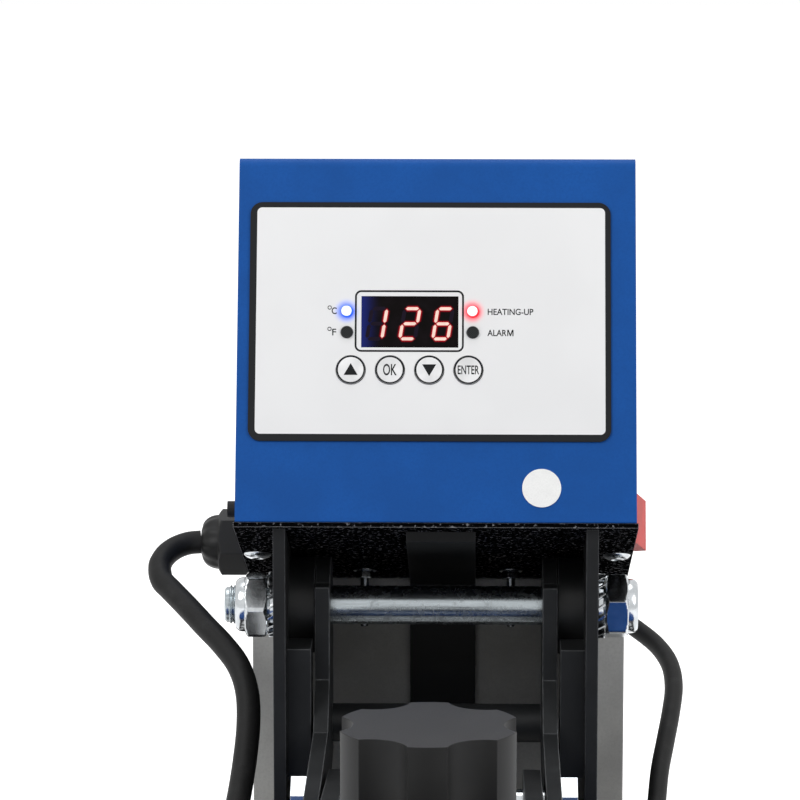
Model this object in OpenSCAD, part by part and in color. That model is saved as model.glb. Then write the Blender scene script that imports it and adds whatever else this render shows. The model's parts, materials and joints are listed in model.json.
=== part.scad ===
// Flat clamshell heat press with a tilted control box on its two rear uprights.
// Millimetres, +Z up, front towards -Y, origin on the floor under the middle of the press.

/* [Platens] */
// Side of the two square platens
platen_side = 380; // [320:5:400]
// Corner radius of the platens
platen_corner = 12; // [6:1:20]
// Thickness of the heated plate
heat_plate_t = 16; // [12:1:22]
// Thickness of the silicone pad
pad_t = 8; // [5:1:12]
// Thickness of the lower platen
lower_plate_t = 14; // [12:1:20]
// Height of the sheet cover over the heated plate
cover_h = 27; // [22:1:34]
// Step from the edge of the heated plate in to its cover
cover_inset = 4; // [2:1:8]
// Diameter of the tube heater
heater_d = 7; // [6:0.5:9]
// Spacing of the heater's straight runs
heater_pitch = 90; // [80:5:95]
// Pressure adjustment, upwards
press_travel = 8; // [4:1:8]

/* [Base] */
// Width of the steel base tubes
rail_w = 30; // [24:2:40]
// Height of the steel base tubes
rail_h = 25; // [20:1:30]
// Wall of the base tubes
rail_wall = 2; // [1.5:0.5:3]
// Distance between the two side rails, middle to middle
rail_spacing = 300; // [280:5:320]
// Length of the rails in front of the main shaft
base_front = 500; // [480:5:520]
// Length of the rails behind the main shaft
rear_reach = 150; // [145:5:170]
// Diameter of a rubber foot
foot_d = 36; // [28:1:40]
// Height of a rubber foot
foot_h = 18; // [12:1:25]
// Height of the posts under the lower platen
post_h = 20; // [12:1:30]

/* [Uprights and shaft] */
// Distance from the side of the box in to the upright
upright_inset = 15; // [14:0.5:17]
// Thickness of an upright
upright_t = 5; // [4:0.5:6]
// Upright's front edge ahead of the shaft
upright_front = 46; // [44:1:48]
// Upright's rear edge behind the shaft
upright_rear = 72; // [72:1:80]
// Diameter of the main shaft
shaft_d = 16; // [14:1:18]
// Height of the shaft over the closed platen cover
shaft_over_cover = 107; // [106:1:112]
// Width across the flats of the shaft nuts
nut_af = 24.5; // [23:0.5:27]
// Outer diameter of the spacers on the shaft and of the arms' bosses
spacer_d = 39.5; // [34:0.5:41]
// Diameter of the fixed press bar
press_bar_d = 14; // [12:1:15]

/* [Arms] */
// Room between an arm and its upright
arm_side = 11; // [11:0.5:13]
// Thickness of an arm plate
arm_t = 6; // [5:0.5:7]
// Distance from the shaft forward to the pressure screw
arm_reach = 285; // [280:5:300]
// Diameter of the pressure screw
screw_d = 16; // [14:1:18]
// Diameter of the pressure knob
knob_d = 64; // [54:1:66]
// Height of the pressure knob
knob_h = 30; // [24:1:34]

/* [Handle] */
// Diameter of the handle's pivot pin
pivot_d = 12; // [10:1:14]
// Thickness of a handle bar
bar_t = 7; // [5:0.5:8]
// Slope of the handle when closed
handle_slope = 8; // [6:0.5:9]
// Diameter of the handle rod
rod_d = 22; // [18:1:24]
// Diameter of the rubber grip
grip_d = 34; // [30:1:38]
// Length of the rubber grip
grip_len = 130; // [110:5:140]

/* [Control box] */
// Width of the box
box_w = 161; // [159:1:170]
// Height of the box along its face
box_h = 150.5; // [146:0.5:152]
// Depth of the box
box_d = 155; // [152:1:165]
// How far the box leans back
box_tilt = 21; // [20:0.5:22]
// Thickness of the folded sheet cover
sheet_t = 1.5; // [1:0.25:2]
// Thickness of the bottom tray
tray_t = 2; // [1.5:0.5:3]
// Face of the box ahead of the shaft
face_ahead = 50; // [49:1:52]
// Lower edge of the face above the shaft
face_rise = 45.3; // [45:0.1:48]

/* [Front panel] */
// Distance from the side of the box in to the panel overlay
panel_margin = 7.5; // [6:0.5:10]
// Height of the panel overlay
panel_h = 98.5; // [94:0.5:100]
// Thickness of the panel overlay
panel_t = 0.8; // [0.5:0.1:1]
// Width of the display window
window_w = 39; // [36:0.5:42]
// Height of the display window
window_h = 21; // [18:0.5:22]
// Diameter of a push button
button_d = 11.6; // [10:0.2:12]
// Spacing of the push buttons
button_pitch = 15.8; // [15:0.2:17]
// Travel of a push button
button_travel = 0.8; // [0.5:0.1:1]
// Diameter of an indicator lamp
lamp_d = 5; // [3:0.5:5]
// Diameter of the round blank sticker
sticker_d = 15.6; // [12:0.2:18]

/* [Hidden] */
$fn = 48;

// Clearances
run_fit = 0.05;    // radial, round parts that turn or slide in one another
body_gap = 0.3;    // between parts that move past each other
seat_fit = 0.1;    // around fixed pieces in their holes

// Levels, from the floor up
base_top = foot_h + rail_h;
pad_top = base_top + post_h + lower_plate_t + pad_t;
plate_z = pad_top + body_gap;
shaft_z = plate_z + heat_plate_t + cover_h + shaft_over_cover;
base_drop = base_top - shaft_z;

// Handle, measured from the shaft: pivot forward and down, then the sloping bars, rod and grip
pivot_ahead = 90;
pivot_drop = 60;
bar_half = 12;
handle_clear = 48;
bar_front = arm_reach + knob_d / 2 + handle_clear;
rod_out = 90;
rod_end = 12;
grip_lap = 40;
grip_fillet = 8;
grip_end = (bar_front - pivot_ahead) / cos(handle_slope) + rod_out + grip_len - grip_lap;
front_reach = pivot_ahead + (grip_end - grip_fillet) * cos(handle_slope)
  + (grip_d / 2 - grip_fillet) * sin(handle_slope) + grip_fillet;
shaft_y = (front_reach - rear_reach) / 2;

// Base frame
rail_x = rail_spacing / 2;
rail_len = base_front + rear_reach;
cross_front = 60 - base_front;
cross_mid = -20;
cross_rear = 55;
foot_inset = 40;
foot_lip = 5.4;
foot_taper = 3;
platen_y = -arm_reach;
post_offset = 150;
post_d = 24;
stud_d = 8;
stud_depth = 8;

// Uprights
upright_gap = box_w - 2 * (upright_inset + upright_t);
upright_in = upright_gap / 2;
upright_out = upright_in + upright_t;
foot_flange = 30;
top_flange = 10;
flange_len = 43;
tray_screw_d = 5;
tray_head_d = 9;
tray_screw_y = [90, 114];
flange_bolt_out = 17;
flange_bolt_x = upright_out + flange_bolt_out;
bolt_d = 8;
bolt_head_h = 5.3;
bolt_af = 13;
panel_y = upright_rear;
panel_side = 14.5;
strap_w = 28;
strap_shift = 2;
strap_t = 4;
press_bar_y = -34;
press_bar_z = -80;
washer_t = 4.2;
nut_hex_h = 9.2;
nut_collar_h = 4;
shaft_tip = 4.5;

// Arms
arm_gap = upright_gap - 2 * (arm_t + arm_side);
arm_in = arm_gap / 2;
arm_out = arm_in + arm_t;
arm_top = -43;
arm_bottom = -85;
block_half = 20;
block_top = -52;
block_bottom = -84;
mount_w = 90;
mount_t = 8;
retainer_w = 56;
retainer_t = 4;
pocket_depth = 5;
collar_d = 24;
platen_bolt_x = 34;
bolt_bite = 9;
knob_base = -8;
arm_bolt_depth = 14;
arm_bolt_pitch = 20;
brace_back = 8;
brace_drop = 52;

// Box interior, measured in the box's own tilted frame
flange_in = 78;
cluster_x = -10.8;
window_z = 81.7;
lamp_x = 25.4;
lamp_z = [86, 77.4];
button_z = 61.9;
sticker_x = 42.4;
sticker_z = 13.9;
key_h = 5;
board_y = 14;
board_t = 1.6;
board_w = 78;
board_h = 56;
board_z = 76;
post_inset = 4;
tray_bolt_x = 31;
tray_bolt_y = box_d - 47;
tray_bolt_drop = 25;
tray_bolt_d = 4;
ear_t = 1.5;
core_w = 50;
core_d = 40;
core_h = 44;
coil_inset = 8;
coil_out = 11;
relay_w = 44;
relay_l = 58;
relay_h = 22;
relay_side = 16.5;
relay_gap = 2;
relay_x = relay_side + (relay_w - box_w) / 2;
relay_y = min(tray_bolt_y - core_d / 2 - coil_out, tray_screw_y[0] - tray_head_d / 2)
  - relay_gap - relay_l / 2;
terminal_w = 50;
terminal_d = 20;
terminal_h = 15;
terminal_pitch = 9;
terminal_x = 36;
terminal_y = tray_bolt_y - 50;
panel_w = box_w - 2 * panel_margin;
gland_y = 133;
gland_z = 13;
gland_af = 25;
gland_nut_af = 2 * (gland_z - 1);
gland_bore = 20;
rear_gland_x = 55;
rear_gland_z = 18;
rear_gland_bore = 16;
switch_y = 99.5;
switch_z = 16.9;
switch_len = 29.4;
switch_wide = 24.4;
switch_rim = 1.2;
switch_bezel = 1.5;
switch_depth = 22;
switch_pocket = 9;
rocker_in = 1;
rocker_pin_d = 3;
rocker_play = 1.3;
rocker_belly = 3.5;
rocker_pressed = 3.6;
rocker_raised = 8.9;
rocker_end = 1.6;
inlet_x = -35;
inlet_z = 45;
inlet_w = 28;
inlet_h = 20;
inlet_depth = 20;
truss_d = 5;
truss_head_d = 11.6;
truss_x = box_w / 2 - 6;
truss_y = 68;
side_screw_y = 45;
side_screw_z = 12.4;
side_head_h = 5.5;
side_head_d = 7;
side_screw_d = 4;

// Cable routes from the shaft's middle, in hand-chosen points
cable_d = 10;
sensor_d = 8;
cable_end_x = 90;
cable_end_drop = 120;
grommet_r = 6;
heater_route = [
  [-102.3, 78.82, 9.73], [-107.55, 78.1, 9.33], [-112.3, 75.97, 8.13], [-116.05, 72.72, 6.23],
  [-118.5, 68.57, 3.83], [-119.3, 64.07, 1.23], [-117.8, 57.37, -2.57], [-113.4, 51.77, -5.77],
  [-106, 43.37, -11.09], [-98, 34.14, -17.16], [-90, 24.84, -23.01], [-83, 15.73, -29.93],
  [-79, 6.43, -38.86], [-78, -3.5, -50], [-79, -16, -63], [-81, -31, -76], [-84, -47, -89],
  [-87, -63, -102], [-89, -75, -112], [-90, -83.5, -118], [-90, -90, -120], [-90, -95, -120]
];
sensor_route = [
  [55, 119.2, -0.4], [55, 125, -2.6], [56.5, 131, -7], [61, 135, -15], [67, 135, -24], [76, 131, -32],
  [87, 123, -38], [96, 111, -43], [101, 96, -48], [102, 80, -54], [100, 62, -61], [97, 44, -69],
  [94, 26, -77], [92, 8, -86], [90, -10, -95], [90, -28, -103], [90, -46, -110], [90, -64, -116],
  [90, -80, -119.3], [90, -88, -120], [90, -95, -120]
];

// Placing
module at_shaft(y = 0, z = 0) { translate([0, shaft_y + y, shaft_z + z]) children(); }
module in_box() {
  translate([0, shaft_y - face_ahead, shaft_z + face_rise]) rotate([-box_tilt, 0, 0]) children();
}
module both_sides() { children(); mirror([1, 0, 0]) children(); }
module at_corners(x, y) { for (sx = [-1, 1], sy = [-1, 1]) translate([sx * x, sy * y, 0]) children(); }

// Shared shapes
module block(w, d, h) { translate([-w / 2, -d / 2, 0]) cube([w, d, h]); }
module rod_x(x0, x1, r) { translate([x0, 0, 0]) rotate([0, 90, 0]) cylinder(h = x1 - x0, r = r); }
module rod_z(long, r) { cylinder(h = long, r = r, center = true); }
module rod_y(y0, y1, r) { translate([0, y0, 0]) rotate([-90, 0, 0]) cylinder(h = y1 - y0, r = r); }
module plate_yz(x0, t, pts) { translate([x0, 0, 0]) rotate([90, 0, 90]) linear_extrude(t) polygon(pts); }
module hex(af, h) { cylinder(h = h, d = af / cos(30), $fn = 6); }
module tube_box(w, d, h, wall) {
  difference() {
    block(w, d, h);
    translate([0, 0, wall]) block(w - 2 * wall, d + 2, h - 2 * wall);
  }
}
module rounded(w, d, r) {
  square([w - 2 * r, d], center = true);
  square([w, d - 2 * r], center = true);
  for (sx = [-1, 1], sy = [-1, 1]) translate([sx * (w / 2 - r), sy * (d / 2 - r)]) circle(r);
}
module slab(w, d, h, r) { linear_extrude(h) rounded(w, d, r); }
// Rounded plate standing in the face of the box, from y0 back to y0 + t
module face_slab(w, h, r, y0, t) {
  translate([0, y0 + t, 0]) rotate([90, 0, 0]) linear_extrude(t) rounded(w, h, r);
}

// Height of the tray's underside at y, measured from the shaft, less a drop square to it
function tray_z(y, drop = 0) =
  face_rise - (y + face_ahead) * tan(box_tilt) - (tray_t + drop) / cos(box_tilt);
// Middle line of the handle bars at a distance ahead of the shaft
function bar_z(ahead) = -pivot_drop + (ahead - pivot_ahead) * tan(handle_slope);

// One unbroken tube along a route
function unit(v) = v / norm(v);
function along(p, i) = unit(p[min(i + 1, len(p) - 1)] - p[max(i - 1, 0)]);
function ring(p, i, r, n) =
  let (t = along(p, i), a = unit(cross(t, [1, -1, 1])), b = cross(t, a))
  [for (k = [0:n - 1]) p[i] + r * (cos(360 * k / n) * a + sin(360 * k / n) * b)];
module tube_along(p, r, n) {
  rows = len(p);
  points = [for (i = [0:rows - 1]) each ring(p, i, r, n)];
  sides = [for (i = [0:rows - 2], k = [0:n - 1]) let (a = i * n + k, b = i * n + (k + 1) % n)
    each [[a, b, b + n], [a, b + n, a + n]]];
  caps = [for (k = [1:n - 2]) each
    [[0, k + 1, k], [(rows - 1) * n, (rows - 1) * n + k, (rows - 1) * n + k + 1]]];
  polyhedron(points, [for (f = concat(sides, caps)) [f[0], f[2], f[1]]]);
}

// Base
module rail() {
  difference() {
    translate([0, shaft_y - base_front + rail_len / 2, foot_h]) tube_box(rail_w, rail_len, rail_h, rail_wall);
    for (s = [-1, 1]) translate([0, shaft_y + platen_y + s * post_offset, base_top - rail_wall - 1])
      cylinder(h = rail_wall + 2, d = stud_d + 2 * seat_fit);
  }
}
module side_rails() { color("#1c1c1e") for (sx = [-1, 1]) translate([sx * rail_x, 0, 0]) rail(); }
module cross_bars() {
  color("#1c1c1e") for (y = [cross_front, cross_mid, cross_rear])
    difference() {
      translate([0, shaft_y + y, foot_h]) rotate(90)
        tube_box(rail_w, rail_spacing - rail_w, rail_h, rail_wall);
      if (y > cross_front) for (s = [-1, 1])
        translate([s * flange_bolt_x, shaft_y + y, base_top - rail_wall - 1])
          cylinder(h = rail_wall + 2, d = bolt_d + 2 * seat_fit);
    }
}
module rail_end_caps() {
  plug = 8;
  color("#111111") for (sx = [-1, 1], end = [0, 1])
    translate([sx * rail_x, shaft_y + (end ? rear_reach : -base_front), foot_h + rail_wall])
      translate([0, (end ? -1 : 1) * plug / 2, 0])
        block(rail_w - 2 * rail_wall, plug, rail_h - 2 * rail_wall);
}
module rubber_feet() {
  color("#141414") for (sx = [-1, 1], y = [-base_front + foot_inset, rear_reach - foot_inset])
    translate([sx * rail_x, shaft_y + y, 0]) rotate_extrude()
      polygon([
        [0, 0], [foot_d / 2, 0], [foot_d / 2, foot_lip], [foot_d / 2 - foot_taper, foot_h], [0, foot_h]
      ]);
}
module platen_posts() {
  color("#8a8d90") for (sx = [-1, 1], sy = [-1, 1])
    translate([sx * rail_x, shaft_y + platen_y + sy * post_offset, base_top]) {
      cylinder(h = post_h, d = post_d);
      translate([0, 0, -rail_wall]) cylinder(h = rail_wall + post_h + stud_depth, d = stud_d);
    }
}
module lower_platen() {
  color("#202124") translate([0, shaft_y + platen_y, base_top + post_h]) difference() {
    slab(platen_side, platen_side, lower_plate_t, platen_corner);
    at_corners(rail_x, post_offset) translate([0, 0, -1])
      cylinder(h = stud_depth + 1 + seat_fit, d = stud_d + 2 * seat_fit);
  }
}
module silicone_pad() {
  color("#b8632e") translate([0, shaft_y + platen_y, pad_top - pad_t])
    slab(platen_side, platen_side, pad_t, platen_corner);
}

// Uprights, shaft and what they carry
module upright() {
  difference() {
    union() {
      at_shaft() plate_yz(upright_in, upright_t, [
        [-upright_front, base_drop], [upright_rear, base_drop],
        [upright_rear, tray_z(upright_rear)], [-upright_front, tray_z(-upright_front)]
      ]);
      at_shaft() translate([upright_in, -upright_front, base_drop])
        cube([upright_t + foot_flange, upright_front + upright_rear, upright_t]);
      in_box() translate([upright_in - top_flange, flange_in, -tray_t - upright_t])
        cube([top_flange + upright_t, flange_len, upright_t]);
    }
    at_shaft() rod_x(upright_in - 1, upright_out + 1, shaft_d / 2 + run_fit);
    at_shaft(press_bar_y, press_bar_z) rod_x(upright_in - 1, upright_out + 1, press_bar_d / 2 + run_fit);
    for (y = [cross_mid, cross_rear]) at_shaft(y, base_drop) translate([flange_bolt_x, 0, -1])
      cylinder(h = upright_t + 2, d = bolt_d + 2 * seat_fit);
    tray_screw_spots() cylinder(h = upright_t * 3, d = tray_screw_d + 2 * seat_fit, center = true);
  }
}
module tray_screw_spots() {
  for (y = tray_screw_y) in_box() translate([upright_in - top_flange / 2, y, -tray_t]) children();
}
module uprights() { color("#1e1e20") both_sides() upright(); }
module upright_bolts() {
  tail = 8;
  color("#b9bdc0") for (sx = [-1, 1], y = [cross_mid, cross_rear])
    at_shaft(y, base_drop + upright_t) translate([sx * flange_bolt_x, 0, 0]) {
      hex(bolt_af, bolt_head_h);
      translate([0, 0, -upright_t - rail_wall - tail]) cylinder(h = upright_t + rail_wall + tail, d = bolt_d);
    }
}
module rear_panel() {
  half = upright_out + panel_side;
  color("#8c8c8a") at_shaft() translate([-half, panel_y, base_drop])
    cube([2 * half, sheet_t, tray_z(panel_y + sheet_t) - body_gap - base_drop]);
}
module centre_strap() {
  leg = panel_y - strap_t;
  start = -40;
  color("#101011") at_shaft() plate_yz(strap_shift - strap_w / 2, strap_w, [
    [start, tray_z(start)], [panel_y, tray_z(panel_y)], [panel_y, base_drop], [leg, base_drop],
    [leg, tray_z(leg, strap_t)], [start, tray_z(start, strap_t)]
  ]);
}
module press_bar() {
  color("#b9bdc0") at_shaft(press_bar_y, press_bar_z) rod_x(-upright_out, upright_out, press_bar_d / 2);
}
module main_shaft() {
  reach = upright_out + washer_t + nut_hex_h + nut_collar_h + shaft_tip;
  color("#c3c8cb") at_shaft() rod_x(-reach, reach - shaft_tip, shaft_d / 2);
}
module shaft_spacers() {
  color("#161617") both_sides() at_shaft() difference() {
    rod_x(arm_out + body_gap, upright_in, spacer_d / 2);
    rod_x(arm_out - 1, upright_in + 1, shaft_d / 2 + run_fit);
  }
}
module lock_washers() {
  teeth = 18;
  color("#c3c8cb") both_sides() at_shaft() translate([upright_out, 0, 0]) rotate([0, 90, 0]) difference() {
    union() {
      cylinder(h = washer_t, d = nut_af * 0.93);
      for (k = [0:teeth - 1]) rotate(k * 360 / teeth) translate([nut_af * 0.44, -1, 0])
        cube([nut_af * 0.12, 2, washer_t]);
    }
    translate([0, 0, -1]) cylinder(h = washer_t + 2, d = shaft_d + 2 * seat_fit);
  }
}
module shaft_nuts() {
  turn = 20;
  color("#d5d9dc") both_sides() at_shaft() translate([upright_out + washer_t, 0, 0]) rotate([0, 90, 0])
    difference() {
      union() {
        rotate(turn) hex(nut_af, nut_hex_h);
        cylinder(h = nut_hex_h + nut_collar_h, d = nut_af * 0.86);
      }
      translate([0, 0, -1]) cylinder(h = nut_hex_h + nut_collar_h + 2, d = shaft_d + 2 * seat_fit);
    }
}
module arm_guides() {
  top = -9.5;
  tall = 53;
  front = 40;
  long = front - spacer_d / 2 - 0.5;
  color("#161617") both_sides() at_shaft() translate([arm_out + 1, -front, top - tall])
    cube([upright_in - arm_out - 1, long, tall]);
}

// Control box
module box_tray() {
  overhang = 0.7;
  color("#19191a") in_box() difference() {
    translate([-box_w / 2 - overhang, sheet_t, -tray_t])
      cube([box_w + 2 * overhang, box_d - sheet_t, tray_t]);
    for (sx = [-1, 1]) {
      translate([sx * truss_x, truss_y, -tray_t - 1]) cylinder(h = tray_t + 2, d = truss_d + 2 * seat_fit);
      translate([sx * tray_bolt_x, tray_bolt_y, -tray_t - 1])
        cylinder(h = tray_t + 2, d = tray_bolt_d + 2 * seat_fit);
    }
    both_sides() for (y = tray_screw_y) translate([upright_in - top_flange / 2, y, -tray_t - 1])
      cylinder(h = tray_t + 2, d = tray_screw_d + 2 * seat_fit);
  }
}
module box_profile(d, h, r) {
  square([d, h - r]);
  translate([r, 0]) square([d - 2 * r, h]);
  for (x = [r, d - r]) translate([x, h - r]) circle(r);
}
module box_cover() {
  bend = 4;
  lip = 10;
  color("#12509a") in_box() difference() {
    union() {
      difference() {
        translate([-box_w / 2, 0, 0]) rotate([90, 0, 90])
          linear_extrude(box_w) box_profile(box_d, box_h, bend);
        translate([-box_w / 2 + sheet_t, sheet_t, -sheet_t]) rotate([90, 0, 90])
          linear_extrude(box_w - 2 * sheet_t) box_profile(box_d - 2 * sheet_t, box_h, bend - sheet_t);
      }
      both_sides() translate([box_w / 2 - lip, sheet_t, 0]) cube([lip - sheet_t / 2, truss_y + lip, sheet_t]);
    }
    for (sx = [-1, 1]) translate([sx * truss_x, truss_y, -1])
      cylinder(h = sheet_t + 2, d = truss_d + 2 * seat_fit);
    face_holes(-1, sheet_t + 2);
    translate([0, gland_y, gland_z])
      rod_x(-box_w / 2 - 1, -box_w / 2 + sheet_t + 1, gland_bore / 2 + seat_fit);
    translate([rear_gland_x, 0, rear_gland_z])
      rod_y(box_d - sheet_t - 1, box_d + 1, rear_gland_bore / 2 + seat_fit);
    translate([box_w / 2 - sheet_t - 1, switch_y, switch_z])
      translate([0, -switch_len / 2 - seat_fit, -switch_wide / 2 - seat_fit])
        cube([sheet_t + 2, switch_len + 2 * seat_fit, switch_wide + 2 * seat_fit]);
    translate([inlet_x, box_d - sheet_t - 1, inlet_z])
      translate([-inlet_w / 2 - seat_fit, 0, -inlet_h / 2 - seat_fit])
        cube([inlet_w + 2 * seat_fit, sheet_t + 2, inlet_h + 2 * seat_fit]);
    translate([0, side_screw_y, side_screw_z])
      rod_x(-box_w / 2 - 1, -box_w / 2 + sheet_t + 1, side_screw_d / 2 + seat_fit);
  }
}
// Cut-outs for the display, the lamps and the buttons, from y0 back
module face_holes(y0, t) {
  translate([cluster_x, y0, window_z]) translate([-window_w / 2 - seat_fit, 0, -window_h / 2 - seat_fit])
    cube([window_w + 2 * seat_fit, t, window_h + 2 * seat_fit]);
  for (sx = [-1, 1], z = lamp_z) translate([cluster_x + sx * lamp_x, 0, z])
    rod_y(y0, y0 + t, lamp_d / 2 + seat_fit);
  for (k = [0:3]) translate([button_x(k), 0, button_z]) rod_y(y0, y0 + t, button_d / 2 + body_gap);
}
function button_x(k) = cluster_x + (k - 1.5) * button_pitch;

module cover_screws() {
  head_h = 2.6;
  dome_r = (pow(truss_head_d / 2, 2) + pow(head_h, 2)) / (2 * head_h);
  color("#9a9da0") in_box() for (sx = [-1, 1]) translate([sx * truss_x, truss_y, -tray_t]) {
    cylinder(h = tray_t + sheet_t + 4, d = truss_d);
    rotate([180, 0, 0]) rotate_extrude() intersection() {
      translate([0, head_h - dome_r]) circle(dome_r);
      square([truss_head_d / 2, head_h]);
    }
  }
}
// Four screws down through the tray into the uprights, and the pan-headed one in the left wall
module box_screws() {
  color("#7d8083") both_sides() tray_screw_spots() {
    translate([0, 0, tray_t]) cylinder(h = 3, d = tray_head_d);
    translate([0, 0, -upright_t]) cylinder(h = upright_t + tray_t, d = tray_screw_d);
  }
  color("#161617") in_box() translate([0, side_screw_y, side_screw_z]) {
    rod_x(-box_w / 2 - side_head_h, -box_w / 2, side_head_d / 2);
    rod_x(-box_w / 2, -box_w / 2 + sheet_t + 5, side_screw_d / 2);
  }
}
module tray_bolts() {
  washer = 0.8;
  nut = 3.2;
  color("#c3c8cb") in_box() for (sx = [-1, 1]) translate([sx * tray_bolt_x, tray_bolt_y, 0]) {
    translate([0, 0, -tray_t - tray_bolt_drop])
      cylinder(h = tray_bolt_drop + tray_t + ear_t, d = tray_bolt_d);
    translate([0, 0, ear_t]) cylinder(h = 2.8, d = tray_bolt_d + 3.5);
    translate([0, 0, -tray_t - washer]) cylinder(h = washer, d = tray_bolt_d + 6);
    translate([0, 0, -tray_t - washer - nut]) hex(tray_bolt_d + 3, nut);
  }
}
module panel_overlay() {
  shift_x = -2.7;
  mid_z = 82;
  color("#ececec") in_box() difference() {
    translate([shift_x, 0, mid_z]) face_slab(panel_w, panel_h, 5, -panel_t, panel_t);
    face_holes(-panel_t - 1, panel_t + 2);
  }
}
module round_sticker() {
  thick = 0.4;
  color("#f4f4f2") in_box() translate([sticker_x, 0, sticker_z]) rod_y(-thick, 0, sticker_d / 2);
}
module display_module() {
  color("#0b0b0d") in_box() translate([cluster_x, 0, window_z])
    translate([-window_w / 2, -panel_t, -window_h / 2]) cube([window_w, board_y + panel_t, window_h]);
}
module lamp(side, row) {
  in_box() translate([cluster_x + side * lamp_x, 0, lamp_z[row]]) {
    rod_y(-panel_t, board_y, lamp_d / 2);
    translate([0, -panel_t, 0]) intersection() {
      sphere(lamp_d / 2);
      translate([-lamp_d, -1.2, -lamp_d]) cube([2 * lamp_d, 1.2, 2 * lamp_d]);
    }
  }
}
module scale_lamp() { color("#3f7bff") lamp(-1, 0); }
module heat_lamp() { color("#ff3030") lamp(1, 0); }
module spare_lamps() { color("#33363a") for (side = [-1, 1]) lamp(side, 1); }
module control_board() {
  color("#1d5b35") in_box() difference() {
    union() {
      translate([cluster_x - board_w / 2, board_y, board_z - board_h / 2]) cube([board_w, board_t, board_h]);
      for (k = [0:3]) translate([button_x(k), board_y - key_h, button_z])
        translate([-3, 0, -3]) cube([6, key_h, 6]);
      translate([cluster_x - 12, board_y + board_t, board_z - 10]) cube([24, 8, 20]);
    }
    board_spots() rod_y(board_y - 1, board_y + board_t + 1, 1.5 + seat_fit);
  }
}
module board_spots() {
  for (sx = [-1, 1], sz = [-1, 1])
    translate([cluster_x + sx * (board_w / 2 - post_inset), 0, board_z + sz * (board_h / 2 - post_inset)])
      children();
}
module board_posts() {
  color("#c9cbcd") in_box() board_spots() {
    rod_y(sheet_t, board_y, 3);
    rod_y(board_y, board_y + board_t + 3, 1.5);
  }
}
module transformer() {
  color("#6d6f71") in_box() translate([0, tray_bolt_y, 0]) difference() {
    union() {
      block(2 * tray_bolt_x + 12, 20, ear_t);
      translate([0, 0, ear_t]) block(core_w, core_d, core_h);
      translate([0, 0, ear_t + coil_inset])
        block(core_w - 2 * coil_inset, core_d + 2 * coil_out, core_h - 2 * coil_inset);
    }
    for (sx = [-1, 1]) translate([sx * tray_bolt_x, 0, -1])
      cylinder(h = ear_t + 2, d = tray_bolt_d + 2 * seat_fit);
  }
}
module power_relay() {
  pin_h = 4;
  color("#e6e2d6") in_box() translate([relay_x, relay_y, 0]) {
    block(relay_w, relay_l, relay_h);
    for (sx = [-1, 1], sy = [-1, 1]) translate([sx * 0.3 * relay_w, sy * 0.38 * relay_l, relay_h])
      cylinder(h = pin_h, d = 2 * pin_h);
  }
}
module terminal_block() {
  bore = 6;
  color("#f0efe9") in_box() translate([terminal_x, terminal_y, 0]) difference() {
    block(terminal_w, terminal_d, terminal_h);
    for (k = [-2:2]) translate([k * terminal_pitch, 0, terminal_h / 2])
      cylinder(h = terminal_h, d = bore);
  }
}
// Power switch: its rocker swings about an upright pin, and its rear end is out when it is on
module switch_housing() {
  wall_x = box_w / 2;
  color("#131314") in_box() translate([wall_x, switch_y, switch_z]) {
    difference() {
      union() {
        translate([-sheet_t - switch_depth, -switch_len / 2, -switch_wide / 2])
          cube([switch_depth + sheet_t, switch_len, switch_wide]);
        translate([0, -switch_len / 2 - switch_bezel, -switch_wide / 2 - switch_bezel])
          cube([switch_bezel, switch_len + 2 * switch_bezel, switch_wide + 2 * switch_bezel]);
      }
      translate([-switch_pocket, -switch_len / 2 + switch_rim, -switch_wide / 2 + switch_rim])
        cube([2 * switch_pocket, switch_len - 2 * switch_rim, switch_wide - 2 * switch_rim]);
    }
    translate([-rocker_in, 0, 0]) rod_z(switch_wide - switch_rim, rocker_pin_d / 2);
  }
}
module switch_rocker() {
  half_y = switch_len / 2 - switch_rim - rocker_play;
  tall = switch_wide - 2 * (switch_rim + body_gap);
  color("#d42a20") in_box() translate([box_w / 2 - rocker_in, switch_y, switch_z]) difference() {
    translate([0, 0, -tall / 2]) linear_extrude(tall) polygon([
      [-rocker_belly, -rocker_belly], [0, -half_y], [rocker_pressed, -half_y],
      [rocker_raised, half_y - rocker_end], [rocker_raised / 2, half_y], [-rocker_belly, rocker_belly]
    ]);
    rod_z(2 * tall, rocker_pin_d / 2 + run_fit);
  }
}
module power_inlet() {
  rim = 2.5;
  color("#131314") in_box() translate([inlet_x, box_d, inlet_z]) difference() {
    union() {
      translate([-inlet_w / 2, -sheet_t - inlet_depth, -inlet_h / 2])
        cube([inlet_w, inlet_depth + sheet_t, inlet_h]);
      translate([-inlet_w / 2 - 11, 0, -inlet_h / 2 - 4]) cube([inlet_w + 22, 2.5, inlet_h + 8]);
    }
    translate([-inlet_w / 2 + rim, -15, -inlet_h / 2 + rim]) cube([inlet_w - 2 * rim, 20, inlet_h - 2 * rim]);
  }
}
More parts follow.
